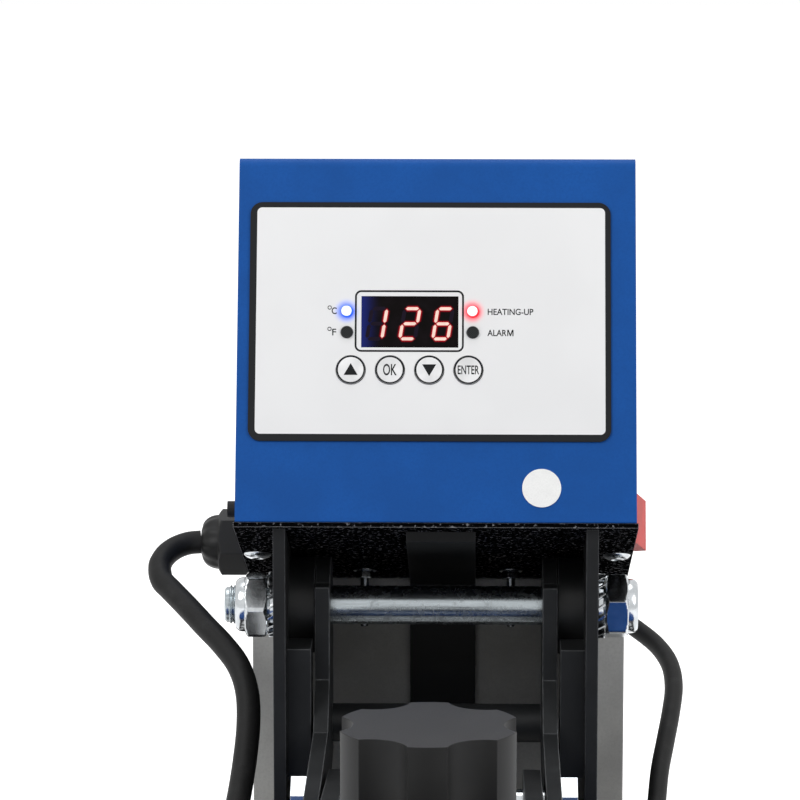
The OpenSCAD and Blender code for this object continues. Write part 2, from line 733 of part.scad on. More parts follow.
// Gland from its wall outwards along +Z, with its bore, and its nut inside the wall
module gland(bore, thread_d, af, nut_af, hex_h, dome_h) {
  flange = 1;
  difference() {
    union() {
      translate([0, 0, -sheet_t - 8]) cylinder(h = sheet_t + 8, d = thread_d);
      translate([0, 0, -sheet_t - 5]) rotate(30) hex(nut_af, 5);
      cylinder(h = flange, d = nut_af);
      translate([0, 0, flange]) hex(af, hex_h - flange);
      translate([0, 0, hex_h]) rotate_extrude() difference() {
        square([af / 2, dome_h]);
        translate([af / 2 - dome_h / 2, dome_h / 2]) difference() {
          square(dome_h);
          circle(dome_h / 2);
        }
      }
    }
    translate([0, 0, -sheet_t - 9]) cylinder(h = sheet_t + hex_h + 6, d = bore);
  }
}
module cable_glands() {
  color("#202020") in_box() translate([-box_w / 2, gland_y, gland_z]) rotate([0, -90, 0])
    gland(cable_d, gland_bore, gland_af, gland_nut_af, 14, 7.5);
  color("#202020") in_box() translate([rear_gland_x, box_d, rear_gland_z]) rotate([-90, 0, 0])
    gland(sensor_d, rear_gland_bore, rear_gland_bore + 4, rear_gland_bore + 4, 12, 7);
}
module heater_cable() { color("#161616") at_shaft() tube_along(heater_route, cable_d / 2, 10); }
module sensor_cable() { color("#161616") at_shaft() tube_along(sensor_route, sensor_d / 2, 10); }

// Push buttons, each a cap with a stem that ends just off its switch on the board
module button(k) {
  proud = 0.5;
  color("#efefef") in_box() translate([button_x(k), 0, button_z]) {
    rod_y(-panel_t - proud, sheet_t + 1, button_d / 2);
    rod_y(sheet_t + 1, board_y - key_h - button_travel - body_gap, 2);
  }
}
module button_up() { button(0); }
module button_ok() { button(1); }
module button_down() { button(2); }
module button_enter() { button(3); }

// Arms
module arm() {
  leg_rear = 20;
  leg_front = 24;
  leg_top = 12.5;
  belly = 75;
  nose = arm_reach + 40;
  nose_back = 15;
  nose_low = 13;
  nose_high = 12;
  at_shaft() difference() {
    union() {
      plate_yz(arm_in, arm_t, [
        [-leg_front, leg_top], [0, leg_top], [leg_rear, 3], [leg_rear, -66], [-14, -70], [-60, -70],
        [-belly, arm_bottom], [-nose + nose_back, arm_bottom], [-nose, arm_bottom + nose_low],
        [-nose, arm_top - nose_high], [-nose + nose_back, arm_top], [-45, arm_top], [-leg_front, -26]
      ]);
      rod_x(arm_in, arm_out, spacer_d / 2);
    }
    rod_x(arm_in - 1, arm_out + 1, shaft_d / 2 + run_fit);
    translate([0, -pivot_ahead, -pivot_drop]) rod_x(arm_in - 1, arm_out + 1, pivot_d / 2 + run_fit);
    arm_bolt_spots() rod_x(arm_in - 1, arm_out + 1, bolt_d / 2 + seat_fit);
  }
}
module arm_bolt_spots() {
  for (side = [-1, 1])
    translate([0, side * arm_bolt_pitch / 2 - arm_reach, (block_top + block_bottom) / 2]) children();
}
module arm_plates() { color("#292b2a") both_sides() arm(); }
// Between the arms: the rear tube and the threaded block for the pressure screw
module arm_braces() {
  tube_r = 8;
  color("#292b2a") at_shaft(brace_back, -brace_drop) rod_x(-arm_in, arm_in, tube_r);
  color("#3a3c3e") difference() {
    at_shaft(-arm_reach, block_bottom) difference() {
      block(arm_gap, 2 * block_half, block_top - block_bottom);
      translate([0, 0, -1]) cylinder(h = block_top - block_bottom + 2, d = screw_d + 2 * run_fit);
    }
    at_shaft() both_sides() arm_bolt_spots()
      rod_x(arm_in - arm_bolt_depth - seat_fit, arm_in + 1, bolt_d / 2 + seat_fit);
  }
}
module arm_bolts() {
  color("#b9bdc0") at_shaft() both_sides() arm_bolt_spots() {
    rod_x(arm_in - arm_bolt_depth, arm_out, bolt_d / 2);
    translate([arm_out, 0, 0]) rotate([0, 90, 0]) hex(bolt_af, bolt_head_h);
  }
}
module handle_pin() {
  head_h = 7;
  color("#b9bdc0") at_shaft(-pivot_ahead, -pivot_drop) {
    rod_x(-arm_out, arm_out, pivot_d / 2);
    both_sides() translate([arm_out, 0, 0]) rotate([0, 90, 0]) hex(pivot_d + 7, head_h);
  }
}

// Handle
bar_side_gap = 1.5;
bar_in = arm_in - bar_side_gap - bar_t;
tail_top = press_bar_z - press_bar_d / 2 - body_gap;
module handle_bars() {
  knee = 74;
  crook = 58;
  crook_drop = 72;
  heel = 98;
  color("#232425") both_sides() at_shaft() difference() {
    plate_yz(bar_in, bar_t, [
      [-bar_front, bar_z(bar_front) + bar_half], [-knee, bar_z(knee) + bar_half], [-crook, -crook_drop],
      [press_bar_y - 13, tail_top], [press_bar_y + 4, tail_top], [press_bar_y + 12, tail_top - 3],
      [press_bar_y + 14, tail_top - 7], [press_bar_y + 8, tail_top - 13], [press_bar_y - 24, tail_top - 11],
      [-heel, bar_z(heel) - bar_half],
      [-bar_front, bar_z(bar_front) - bar_half]
    ]);
    translate([0, -pivot_ahead, -pivot_drop]) rod_x(bar_in - 1, bar_in + bar_t + 1, pivot_d / 2 + run_fit);
  }
}
module on_handle() { at_shaft(-pivot_ahead, -pivot_drop) rotate([-handle_slope, 0, 0]) children(); }
handle_run = (bar_front - pivot_ahead) / cos(handle_slope);
block_lap = 4;
module handle_block() {
  thick = 24;
  color("#232425") on_handle() translate([-bar_in, -handle_run + block_lap, -bar_half + 1])
    cube([2 * bar_in, thick, 2 * bar_half - 2]);
}
module handle_rod() {
  color("#1c1c1e") on_handle() rod_y(-grip_end + rod_end, -handle_run + block_lap, rod_d / 2);
}
module handle_grip() {
  r = grip_d / 2;
  bore = rod_d / 2 + seat_fit;
  color("#101010") on_handle() translate([0, -grip_end, 0]) rotate([-90, 0, 0]) rotate_extrude() {
    difference() {
      union() {
        translate([0, grip_fillet]) square([r, grip_len - grip_fillet]);
        square([r - grip_fillet, grip_len]);
        translate([r - grip_fillet, grip_fillet]) circle(grip_fillet);
      }
      translate([0, rod_end - seat_fit]) square([bore, grip_len]);
      translate([-r, -1]) square([r, grip_len + 2]);
      for (k = [0:7]) translate([r + 1.2, 30 + k * 11]) circle(3);
    }
  }
}

// Upper platen
module at_platen(z = 0) { translate([0, shaft_y + platen_y, plate_z + z]) children(); }
module heat_plate() {
  color("#b4b7ba") at_platen() difference() {
    slab(platen_side, platen_side, heat_plate_t, platen_corner);
    at_corners(platen_bolt_x, platen_bolt_x) translate([0, 0, heat_plate_t - bolt_bite - 1])
      cylinder(h = bolt_bite + 2, d = bolt_d + 2 * seat_fit);
  }
}
module heating_element() {
  run = 240;
  r = heater_d / 2;
  color("#5a4c44") at_platen(heat_plate_t + seat_fit + r) {
    for (k = [0:3]) translate([(k - 1.5) * heater_pitch, 0, 0]) rod_y(-run / 2, run / 2, r);
    for (k = [0:2]) translate([(k - 1) * heater_pitch, (k == 1 ? -1 : 1) * run / 2, 0])
      rotate(k == 1 ? 180 : 0) rotate_extrude(angle = 180) translate([heater_pitch / 2, 0]) circle(r);
  }
}
module platen_cover() {
  side = platen_side - 2 * cover_inset;
  color("#12509a") at_platen(heat_plate_t) difference() {
    slab(side, side, cover_h, platen_corner);
    translate([0, 0, -1])
      slab(side - 2 * sheet_t, side - 2 * sheet_t, cover_h - sheet_t + 1, platen_corner - sheet_t);
    at_corners(platen_bolt_x, platen_bolt_x) cylinder(h = cover_h + 1, d = bolt_d + 2 * seat_fit);
    grommet_spots() rod_y(side / 2 - sheet_t - 1, side / 2 + 1, grommet_r + seat_fit);
  }
}
// Where the two cables come in through the cover's rear wall, from the level of the plate's top
module grommet_spots() {
  for (sx = [-1, 1]) translate([sx * cable_end_x, 0, shaft_over_cover + cover_h - cable_end_drop]) children();
}
module cable_grommets() {
  wall_y = platen_side / 2 - cover_inset;
  color("#161616") at_platen(heat_plate_t) grommet_spots() {
    rod_y(wall_y - sheet_t - 2, wall_y, grommet_r);
    rod_y(wall_y, wall_y + cover_inset - body_gap, grommet_r + 2.5);
  }
}
module insulation_board() {
  side = platen_side - 2 * cover_inset - 24;
  color("#d9d4c8") at_platen(heat_plate_t + heater_d + 2 * seat_fit) difference() {
    slab(side, side, cover_h - sheet_t - heater_d - 3 * seat_fit, platen_corner);
    at_corners(platen_bolt_x, platen_bolt_x) translate([0, 0, -1])
      cylinder(h = cover_h, d = bolt_d + 2 * body_gap);
  }
}
// On top of the cover: the thrust plate, and the retainer over the screw's collar
module pressure_mount() {
  lift = heat_plate_t + cover_h;
  color("#3a3c3e") at_platen(lift) difference() {
    block(mount_w, mount_w, mount_t);
    translate([0, 0, mount_t - pocket_depth]) cylinder(h = pocket_depth + 1, d = collar_d + 1);
    at_corners(platen_bolt_x, platen_bolt_x) translate([0, 0, -1])
      cylinder(h = mount_t + 2, d = bolt_d + 2 * seat_fit);
  }
  color("#3a3c3e") at_platen(lift + mount_t + seat_fit) difference() {
    block(retainer_w, retainer_w, retainer_t);
    translate([0, 0, -1]) cylinder(h = retainer_t + 2, d = screw_d + 2 * body_gap);
    at_corners(platen_bolt_x, platen_bolt_x) translate([0, 0, -1])
      cylinder(h = retainer_t + 2, d = bolt_af + 5);
  }
}
module platen_bolts() {
  grip = mount_t + cover_h + bolt_bite;
  color("#b9bdc0") at_platen(heat_plate_t + cover_h + mount_t) at_corners(platen_bolt_x, platen_bolt_x) {
    hex(bolt_af, bolt_head_h);
    translate([0, 0, -grip]) cylinder(h = grip, d = bolt_d);
  }
}
module pressure_screw() {
  foot = -shaft_over_cover + mount_t - pocket_depth + body_gap;
  color("#b9bdc0") at_shaft(-arm_reach) {
    translate([0, 0, foot]) cylinder(h = knob_base + knob_h - 6 - foot, d = screw_d);
    translate([0, 0, foot]) cylinder(h = pocket_depth - 2 * body_gap, d = collar_d);
  }
}
module pressure_knob() {
  lobes = 6;
  color("#151516") at_shaft(-arm_reach, knob_base) difference() {
    cylinder(h = knob_h, d = knob_d);
    for (k = [0:lobes - 1]) rotate(k * 360 / lobes) translate([knob_d * 0.62, 0, -1])
      cylinder(h = knob_h + 2, d = knob_d * 0.42);
    translate([0, 0, -1]) cylinder(h = knob_h - 5 + run_fit, d = screw_d + 2 * run_fit);
  }
}

side_rails();
cross_bars();
rail_end_caps();
rubber_feet();
platen_posts();
lower_platen();
silicone_pad();
uprights();
upright_bolts();
rear_panel();
centre_strap();
press_bar();
main_shaft();
shaft_spacers();
lock_washers();
shaft_nuts();
arm_guides();
box_tray();
box_cover();
cover_screws();
box_screws();
tray_bolts();
panel_overlay();
round_sticker();
display_module();
heat_lamp();
scale_lamp();
spare_lamps();
control_board();
board_posts();
transformer();
power_relay();
terminal_block();
switch_housing();
power_inlet();
cable_glands();
heater_cable();
sensor_cable();
button_up();
button_ok();
button_down();
button_enter();
switch_rocker();
arm_plates();
arm_braces();
arm_bolts();
handle_pin();
handle_bars();
handle_block();
handle_rod();
handle_grip();
heat_plate();
heating_element();
insulation_board();
platen_cover();
cable_grommets();
pressure_mount();
platen_bolts();
pressure_screw();
pressure_knob();
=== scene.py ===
"""Looks of a flat clamshell heat press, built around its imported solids."""
import json
import math

import bmesh
import bpy
from bpy.props import FloatProperty, FloatVectorProperty, IntProperty, PointerProperty, StringProperty
from mathutils import Matrix, Vector


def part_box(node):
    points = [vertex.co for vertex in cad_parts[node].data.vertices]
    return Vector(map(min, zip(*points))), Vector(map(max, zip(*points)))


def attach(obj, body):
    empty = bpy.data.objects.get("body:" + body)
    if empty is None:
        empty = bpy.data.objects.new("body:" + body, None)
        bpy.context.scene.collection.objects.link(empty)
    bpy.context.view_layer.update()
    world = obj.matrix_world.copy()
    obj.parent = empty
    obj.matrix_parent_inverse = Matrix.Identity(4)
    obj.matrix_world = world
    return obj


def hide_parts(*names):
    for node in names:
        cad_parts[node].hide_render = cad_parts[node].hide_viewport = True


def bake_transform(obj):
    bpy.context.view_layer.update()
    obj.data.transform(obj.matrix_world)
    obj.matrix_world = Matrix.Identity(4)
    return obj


bl_info = {
    "name": "Clamshell heat press looks",
    "version": (1, 0, 0),
    "blender": (4, 5, 0),
    "location": "View3D > Sidebar > Heat press",
    "description": "Dresses the packed heat press with finishes, print, fasteners, cables and a studio",
    "category": "Object",
}

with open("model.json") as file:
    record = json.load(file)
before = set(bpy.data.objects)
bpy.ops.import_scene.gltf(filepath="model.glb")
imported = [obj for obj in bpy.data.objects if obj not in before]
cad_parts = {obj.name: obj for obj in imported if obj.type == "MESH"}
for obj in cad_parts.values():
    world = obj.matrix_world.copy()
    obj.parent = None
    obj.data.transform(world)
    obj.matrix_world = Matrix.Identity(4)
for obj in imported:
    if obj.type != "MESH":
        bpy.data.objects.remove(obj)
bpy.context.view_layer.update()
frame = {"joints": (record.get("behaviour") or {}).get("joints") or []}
JOINTS = {j["name"]: j for j in frame["joints"]}
MM = 0.001

# The shaft's middle, and the control box's own frame: x right, y into the box, z up its face
SHAFT = Vector(JOINTS["arm_hinge"]["pos_m"])
INWARD = Vector(JOINTS["ok_press"]["axis"])
TILT = math.atan2(-INWARD.z, INWARD.y)
FACE = SHAFT + Vector((0, -50, 45.3)) * MM
BOX = Matrix.Translation(FACE) @ Matrix.Rotation(-TILT, 4, "X")

# The panel, in mm in the box's frame: face of the film, its middle, half sizes and corner, and the lit lamps
FILM_Y = -0.8
FILM_X, FILM_Z, FILM_HALF_W, FILM_HALF_H, FILM_CORNER = -2.45, 82.3, 73, 49.25, 2
BLUE_LAMP, RED_LAMP, LAMP_R, GLOW_R = (-36.4, 86.0), (14.4, 86.0), 2.4, 6.6


def srgb(r, g, b):
    """A colour as seen on screen, 0 to 255, as Blender's linear values"""
    shares = (r / 255, g / 255, b / 255)
    return tuple(c / 12.92 if c <= 0.04045 else ((c + 0.055) / 1.055) ** 2.4 for c in shares)


def colour(name, words, value):
    return FloatVectorProperty(
        name=name, description=words, subtype="COLOR", size=3, min=0, max=1, default=srgb(*value)
    )


def length(name, words, mm):
    return FloatProperty(name=name, description=words, unit="LENGTH", default=mm * MM, min=0)


class PressColours(bpy.types.PropertyGroup):
    """Paint and plastic colours"""

    cover: colour("Cover paint", "Powder coat of the box and the platen cover", (17, 78, 152))
    overlay: colour("Panel film", "White field of the front panel", (233, 233, 233))
    ink: colour("Panel ink", "Border and legends of the front panel", (30, 31, 33))
    frame_black: colour("Frame paint", "Satin black of uprights, arms and base", (27, 28, 29))
    tray_black: colour("Tray paint", "Wrinkle black of the bottom tray", (22, 22, 23))
    plastic_black: colour("Black plastic", "Glands, knob, switch body and end caps", (24, 24, 24))
    rubber: colour("Rubber", "Grip and feet", (20, 20, 20))
    sheath: colour("Cable sheath", "Outer sheath of both cables", (27, 27, 27))
    # Lighter than the panel's paint: painted light where the lamps barely reach
    panel_grey: colour("Rear panel", "Grey paint behind the shaft", (188, 188, 185))
    zinc: colour("Zinc", "Plating of nuts, washers and screws", (205, 209, 212))
    shaft: colour("Shaft steel", "Ground steel of the main shaft", (188, 196, 200))
    rocker: colour("Rocker", "Red plastic of the power switch", (206, 46, 40))
    pad: colour("Silicone pad", "Sponge pad on the lower platen", (172, 92, 50))
    plate: colour("Heated plate", "Machined aluminium", (176, 178, 180))
    lit_blue: colour("Blue lamp", "Lit scale lamp", (28, 84, 255))
    lit_red: colour("Red lamp", "Lit heating lamp and display", (255, 26, 40))


class PressSizes(bpy.types.PropertyGroup):
    """Sizes of the added pieces"""

    border: length("Border", "Width of the panel's black border", 2.55)
    line: length("Line", "Width of the printed rings", 0.62)
    digit_height: length("Digit height", "Height of a display digit", 14.0)
    digit_pitch: length("Digit pitch", "Distance from digit to digit", 13.3)
    segment: length("Segment", "Width of a lit segment", 1.55)
    heater_cable: length("Heater cable", "Diameter of the heater cable", 10.0)
    sensor_cable: length("Sensor cable", "Diameter of the sensor cable", 8.0)
    nut_flats: length("Nut", "Width across the flats of the shaft nuts", 24.5)
    thread_pitch: length("Thread", "Pitch of the shaft's thread", 1.5)
    washer_teeth: IntProperty(name="Washer teeth", description="Teeth of a lock washer", default=18, min=6)
    reading: StringProperty(name="Reading", description="Number on the display", default="126")


def math_node(operation, swapped=False):
    def method(self, other):
        return self.look.calc(operation, *((other, self) if swapped else (self, other)))

    return method


class Val:
    """A shader value. Arithmetic on it adds Math nodes."""

    def __init__(self, look, socket):
        self.look, self.socket = look, socket

    __add__ = __radd__ = math_node("ADD")
    __sub__, __rsub__ = math_node("SUBTRACT"), math_node("SUBTRACT", True)
    __mul__ = __rmul__ = math_node("MULTIPLY")
    __pow__ = math_node("POWER")
    most = math_node("MAXIMUM")

    def __abs__(self):
        return self.look.calc("ABSOLUTE", self)

    def root(self):
        return self.look.calc("SQRT", self)

    def between(self, low, high, start=0.0, end=1.0):
        """Rises smoothly from start at low to end at high"""
        return self.look.node(
            "ShaderNodeMapRange",
            {"interpolation_type": "SMOOTHSTEP"},
            {0: self, 1: low, 2: high, 3: start, 4: end},
        )


class Look:
    """One procedural material around a Principled shader"""

    def __init__(self, name, **fixed):
        self.material = bpy.data.materials.new(name)
        self.material.use_nodes = True
        self.tree = self.material.node_tree
        self.shader = self.tree.nodes["Principled BSDF"]
        for socket, value in fixed.items():
            self.feed(socket.replace("_", " "), value)

    def node(self, kind, settings=(), inputs=(), out=0):
        made = self.tree.nodes.new(kind)
        for name, value in dict(settings).items():
            setattr(made, name, value)
        for name, value in dict(inputs).items():
            self.plug(made.inputs[name], value)
        return Val(self, made.outputs[out])

    def plug(self, socket, value):
        if isinstance(value, Val):
            self.tree.links.new(value.socket, socket)
        elif socket.type == "RGBA" and len(value) == 3:
            socket.default_value = (*value, 1)
        else:
            socket.default_value = value

    def feed(self, socket, value):
        names = {s.name.lower(): s for s in self.shader.inputs}
        self.plug(names[socket.lower()], value)

    def calc(self, operation, *values):
        return self.node("ShaderNodeMath", {"operation": operation}, dict(enumerate(values)))

    def mix(self, factor, a, b):
        return self.node("ShaderNodeMix", {"data_type": "RGBA"}, {0: factor, 6: a, 7: b}, out=2)

    def coords(self):
        return self.node("ShaderNodeTexCoord", out=3)

    def box_coords(self):
        """Object coordinates in the control box's frame"""
        turn = Matrix.Rotation(TILT, 3, "X")
        return self.node(
            "ShaderNodeMapping",
            inputs={"Vector": self.coords(), "Location": -(turn @ FACE), "Rotation": (TILT, 0, 0)},
        )

    def split(self, vector):
        made = self.node("ShaderNodeSeparateXYZ", inputs={0: vector})
        return [Val(self, out) for out in made.socket.node.outputs]

    def stretched(self, scale):
        return self.node("ShaderNodeMapping", inputs={"Vector": self.coords(), "Scale": scale})

    def noise(self, size_mm, detail=2.0, rough=0.5, vector=None, twist=0.0):
        return self.node(
            "ShaderNodeTexNoise",
            inputs={"Vector": vector or self.coords(), "Scale": 1 / (size_mm * MM), "Detail": detail,
                    "Roughness": rough, "Distortion": twist},
        )

    def cells(self, size_mm):
        inputs = {"Vector": self.coords(), "Scale": 1 / (size_mm * MM)}
        return self.node("ShaderNodeTexVoronoi", inputs=inputs)

    def soft_edge(self, mm):
        return self.node("ShaderNodeBevel", {"samples": 4}, {"Radius": mm * MM})

    def edge_mask(self, soft):
        """0 on flat faces, up to 1 on edges"""
        flat = self.node("ShaderNodeNewGeometry", out=1)
        dot = self.node("ShaderNodeVectorMath", {"operation": "DOT_PRODUCT"}, {0: soft, 1: flat}, out=1)
        return (1 - dot).between(0.004, 0.12)

    def bump(self, height, mm, strength, normal=None):
        inputs = {"Height": height, "Distance": mm * MM, "Strength": strength}
        if normal:
            inputs["Normal"] = normal
        self.feed("Normal", self.node("ShaderNodeBump", inputs=inputs))

    def done(self, shade, rough, *bump):
        self.feed("Base Color", shade)
        self.feed("Roughness", rough)
        self.bump(*bump)
        return self.material


def tint(shade, factor):
    return tuple(min(1.0, c * factor) for c in shade)


LOOKS = {}


def powder_coat(name, paint):
    """Sprayed coat with a fine orange peel, cloudy shade, and a painted highlight on its edges"""
    look = Look(name, Specular_IOR_Level=0.14)
    cloud = look.noise(26, 3, 0.6)
    grain = look.noise(1.1, 3, 0.65)
    speck = look.noise(0.42, 1)
    shade = look.mix(cloud.between(0.3, 0.72), tint(paint, 0.93), tint(paint, 1.08))
    shade = look.mix(grain.between(0.38, 0.7) * 0.4, shade, tint(paint, 0.8))
    soft = look.soft_edge(0.9)
    # Edges lighter: a painted highlight along every edge
    shade = look.mix(look.edge_mask(soft) * 0.3, shade, tint(paint, 1.9))
    return look.done(shade, 0.42 + grain * 0.16, grain * 0.7 + speck * 0.3, 0.05, 0.5, soft)


def satin_paint(name, paint, edge_shade, rough=0.42, gloss=0.22):
    """Smooth workshop paint with faint handling marks and lighter edges, partly rubbed wear and partly a
    painted highlight
    """
    look = Look(name, Specular_IOR_Level=gloss)
    cloud = look.noise(18, 4, 0.6)
    fine = look.noise(0.8, 2)
    rub = look.noise(5, 3, 0.7)
    soft = look.soft_edge(0.7)
    shade = look.mix(cloud.between(0.35, 0.7), tint(paint, 0.85), tint(paint, 1.18))
    # Edges lightened in patches: partly rubbed wear, partly a painted highlight
    worn_and_lit_edge = look.edge_mask(soft) * rub.between(0.3, 0.6, 0.35, 1.0)
    shade = look.mix(worn_and_lit_edge, shade, edge_shade)
    return look.done(shade, rough + cloud * 0.1 + fine * 0.05, fine * 0.7 + cloud * 0.3, 0.04, 0.35, soft)


def wrinkle_paint(name, paint):
    """Coarse wrinkle enamel, with painted highlights on its ridges, in sparse specks and along its edges"""
    look = Look(name, Specular_IOR_Level=0.0)
    warp = look.noise(3.2, 2)
    ridge = look.noise(1.15, 3, 0.6, twist=1.6)
    vein = 1 - abs(ridge - 0.5) * 5
    soft = look.soft_edge(0.5)
    painted_glint = look.noise(1.5, 2, 0.6).between(0.58, 0.68)
    # Ridges lighter than hollows: a painted sheen on the ridges
    shade = look.mix(vein.between(0.1, 0.9) * 0.5, tint(paint, 0.25), tint(paint, 0.6))
    # Sparse light specks: painted glints
    shade = look.mix(painted_glint, shade, (0.32, 0.32, 0.33))
    # Edges lighter: a painted highlight
    shade = look.mix(look.edge_mask(soft), shade, (0.42, 0.42, 0.43))
    return look.done(shade, 0.36 + warp * 0.2, vein.between(0, 1) + warp * 0.4, 0.35, 0.9, soft)


def plated(name, metal, rough=0.2, haze=0.16):
    """Bright plating with soft haze and small dents"""
    look = Look(name, Metallic=1.0)
    haze_map = look.noise(3.5, 3, 0.6)
    pits = look.noise(0.5, 2)
    soft = look.soft_edge(0.3)
    shade = look.mix(haze_map.between(0.35, 0.7), tint(metal, 0.86), metal)
    # Edges lighter: a painted highlight
    shade = look.mix(look.edge_mask(soft) * 0.5, shade, (0.93, 0.94, 0.95))
    return look.done(shade, rough + haze_map * haze, pits, 0.012, 0.2, soft)


def shaft_steel(name, metal):
    """Ground bar, streaked along its length and stained by handling"""
    look = Look(name, Metallic=1.0)
    streak = look.noise(1.0, 4, 0.6, look.stretched((0.06, 1.0, 1.0)))
    stain = look.noise(4.2, 5, 0.7)
    shade = look.mix(streak.between(0.3, 0.75), tint(metal, 0.78), metal)
    shade = look.mix(stain.between(0.5, 0.72) * 0.45, shade, (0.17, 0.18, 0.185))
    return look.done(shade, 0.2 + streak * 0.1 + stain.between(0.5, 0.75) * 0.2, streak, 0.015, 0.3)


def moulded(name, plastic, rough=0.42, gloss=0.25):
    """Moulded plastic with a spark-eroded grain"""
    look = Look(name, Specular_IOR_Level=gloss)
    grain = look.noise(0.45, 2, 0.6)
    flow = look.noise(14, 3)
    soft = look.soft_edge(0.5)
    shade = look.mix(flow.between(0.3, 0.7), tint(plastic, 0.88), tint(plastic, 1.15))
    # Edges lighter: a painted highlight
    shade = look.mix(look.edge_mask(soft) * 0.35, shade, tint(plastic, 2.4))
    return look.done(shade, rough + grain * 0.12, grain, 0.03, 0.4, soft)


def soft_rubber(name, rubber, rough=0.62):
    """Matt rubber with dust and a dry grain"""
    look = Look(name, Specular_IOR_Level=0.2)
    grain = look.noise(0.6, 3, 0.7)
    dust = look.noise(9, 4, 0.65)
    shade = look.mix(dust.between(0.45, 0.8), rubber, tint(rubber, 1.9))
    shade = look.mix(grain.between(0.4, 0.8) * 0.4, shade, tint(rubber, 0.6))
    return look.done(shade, rough + grain * 0.14, grain, 0.06, 0.5)


def sponge(name, rubber):
    """Closed-cell silicone sponge"""
    look = Look(name, Specular_IOR_Level=0.25)
    pores = look.cells(1.3)
    cloud = look.noise(22, 3, 0.6)
    shade = look.mix(cloud.between(0.3, 0.7), tint(rubber, 0.86), tint(rubber, 1.1))
    # Pores darker in the middle: painted shade in the pits
    shade = look.mix(pores.between(0.0, 0.35, 0.45, 0.0), shade, tint(rubber, 0.45))
    return look.done(shade, 0.68 + cloud * 0.15, pores.between(0.05, 0.45), 0.18, 0.6)


def machined(name, metal, rough=0.34):
    """Milled aluminium with fine tool lines"""
    look = Look(name, Metallic=1.0)
    lines = look.noise(0.7, 2, 0.5, look.stretched((1.0, 0.04, 1.0)))
    cloud = look.noise(30, 3)
    shade = look.mix(lines.between(0.3, 0.7), tint(metal, 0.82), metal)
    shade = look.mix(cloud.between(0.45, 0.75) * 0.3, shade, tint(metal, 0.6))
    return look.done(shade, rough + lines * 0.14, lines, 0.02, 0.3)


def from_lamp(at, lamp):
    """Distance from a lamp's middle on the panel's face"""
    across, up = at[0] - lamp[0] * MM, at[2] - lamp[1] * MM
    return (across * across + up * up).root()


def glow_round(at, lamp):
    """Fades from 1 at a lamp's rim to 0 at its reach"""
    return from_lamp(at, lamp).between(LAMP_R * MM, GLOW_R * MM, 1.0, 0.0) ** 2.2


def panel_film(name, film, ink, border, blue, red):
    """White panel film with its black border, and the light that the lit lamps throw on it"""
    look = Look(name, Specular_IOR_Level=0.12)
    at = look.split(look.box_coords())
    # Distance into a rounded rectangle, for the border's inner line
    corner = FILM_CORNER * MM
    px = (abs(at[0] - FILM_X * MM) - (FILM_HALF_W * MM - border - corner)).most(0.0)
    pz = (abs(at[2] - FILM_Z * MM) - (FILM_HALF_H * MM - border - corner)).most(0.0)
    outside = (px * px + pz * pz).root() - corner
    cloud = look.noise(40, 2)
    fibre = look.noise(0.5, 2)
    white = look.mix(cloud.between(0.3, 0.7), tint(film, 0.985), tint(film, 1.015))
    blue_light, red_light = glow_round(at, BLUE_LAMP), glow_round(at, RED_LAMP)
    white = look.mix(blue_light * 0.85, white, (0.16, 0.28, 0.95))
    white = look.mix(red_light * 0.85, white, (0.95, 0.16, 0.22))
    look.feed("Base Color", look.mix(outside.between(-0.05 * MM, 0.05 * MM), white, ink))
    dark = look.mix(blue_light, (0, 0, 0), blue)
    look.feed("Emission Color", look.mix(red_light, dark, red))
    look.feed("Emission Strength", 0.22)
    look.feed("Roughness", 0.38 + fibre * 0.1)
    look.bump(fibre, 0.012, 0.25)
    return look.material


def lit_lamp(name, glow, lamp):
    """A lit lamp: white at its middle, coloured at its rim"""
    look = Look(name, Roughness=0.25)
    at = look.split(look.box_coords())
    haze = look.noise(1.2, 2)
    core = (from_lamp(at, lamp) + haze * 0.3 * MM).between(1.7 * MM, 2.5 * MM)
    look.feed("Base Color", look.mix(core, (0.9, 0.9, 0.95), glow))
    look.feed("Emission Color", look.mix(core, (1.0, 1.0, 1.0), glow))
    look.feed("Emission Strength", 1.0)
    return look.material


def dark_lamp(name, lens):
    """An unlit lamp with a faint grid under its lens"""
    look = Look(name, Roughness=0.22, Specular_IOR_Level=0.15)
    at = look.split(look.box_coords())
    grid = look.calc("SINE", at[0] * (6.283 / (0.9 * MM))) * look.calc("SINE", at[2] * (6.283 / (0.9 * MM)))
    smoke = look.noise(2.0, 2)
    shade = look.mix(grid.between(-0.4, 0.8), tint(lens, 0.6), tint(lens, 1.5))
    look.feed("Base Color", look.mix(smoke * 0.4, shade, lens))
    look.bump(grid, 0.03, 0.3)
    return look.material


def display_glass(name):
    """Black window, with the blue lamp's spill at its left edge"""
    look = Look(name, Roughness=0.18, Specular_IOR_Level=0.04)
    at = look.split(look.box_coords())
    left = at[0].between(-31 * MM, -20 * MM, 1.0, 0.0)
    smear = look.noise(6, 3)
    look.feed("Base Color", look.mix(smear.between(0.3, 0.7), (0.002, 0.002, 0.002), (0.005, 0.004, 0.005)))
    look.feed("Emission Color", look.mix(left ** 2.5, (0.002, 0.001, 0.001), (0.010, 0.018, 0.15)))
    look.feed("Emission Strength", 1.0)
    return look.material


def glowing(name, shade):
    """Lit segment, a little uneven along its length"""
    look = Look(name, Roughness=0.4, Specular_IOR_Level=0.04)
    flicker = look.noise(2.2, 1)
    look.feed("Base Color", look.mix(flicker, tint(shade, 0.02), tint(shade, 0.06)))
    look.feed("Emission Color", look.mix(flicker.between(0.3, 0.7), tint(shade, 0.9), shade))
    look.feed("Emission Strength", 1.0)
    return look.material


def print_ink(name, ink):
    """Screen-printed ink"""
    look = Look(name, Roughness=0.55, Specular_IOR_Level=0.08)
    mesh = look.noise(0.35, 2)
    look.feed("Base Color", look.mix(mesh.between(0.35, 0.7), tint(ink, 0.8), tint(ink, 1.25)))
    look.bump(mesh, 0.01, 0.2)
    return look.material


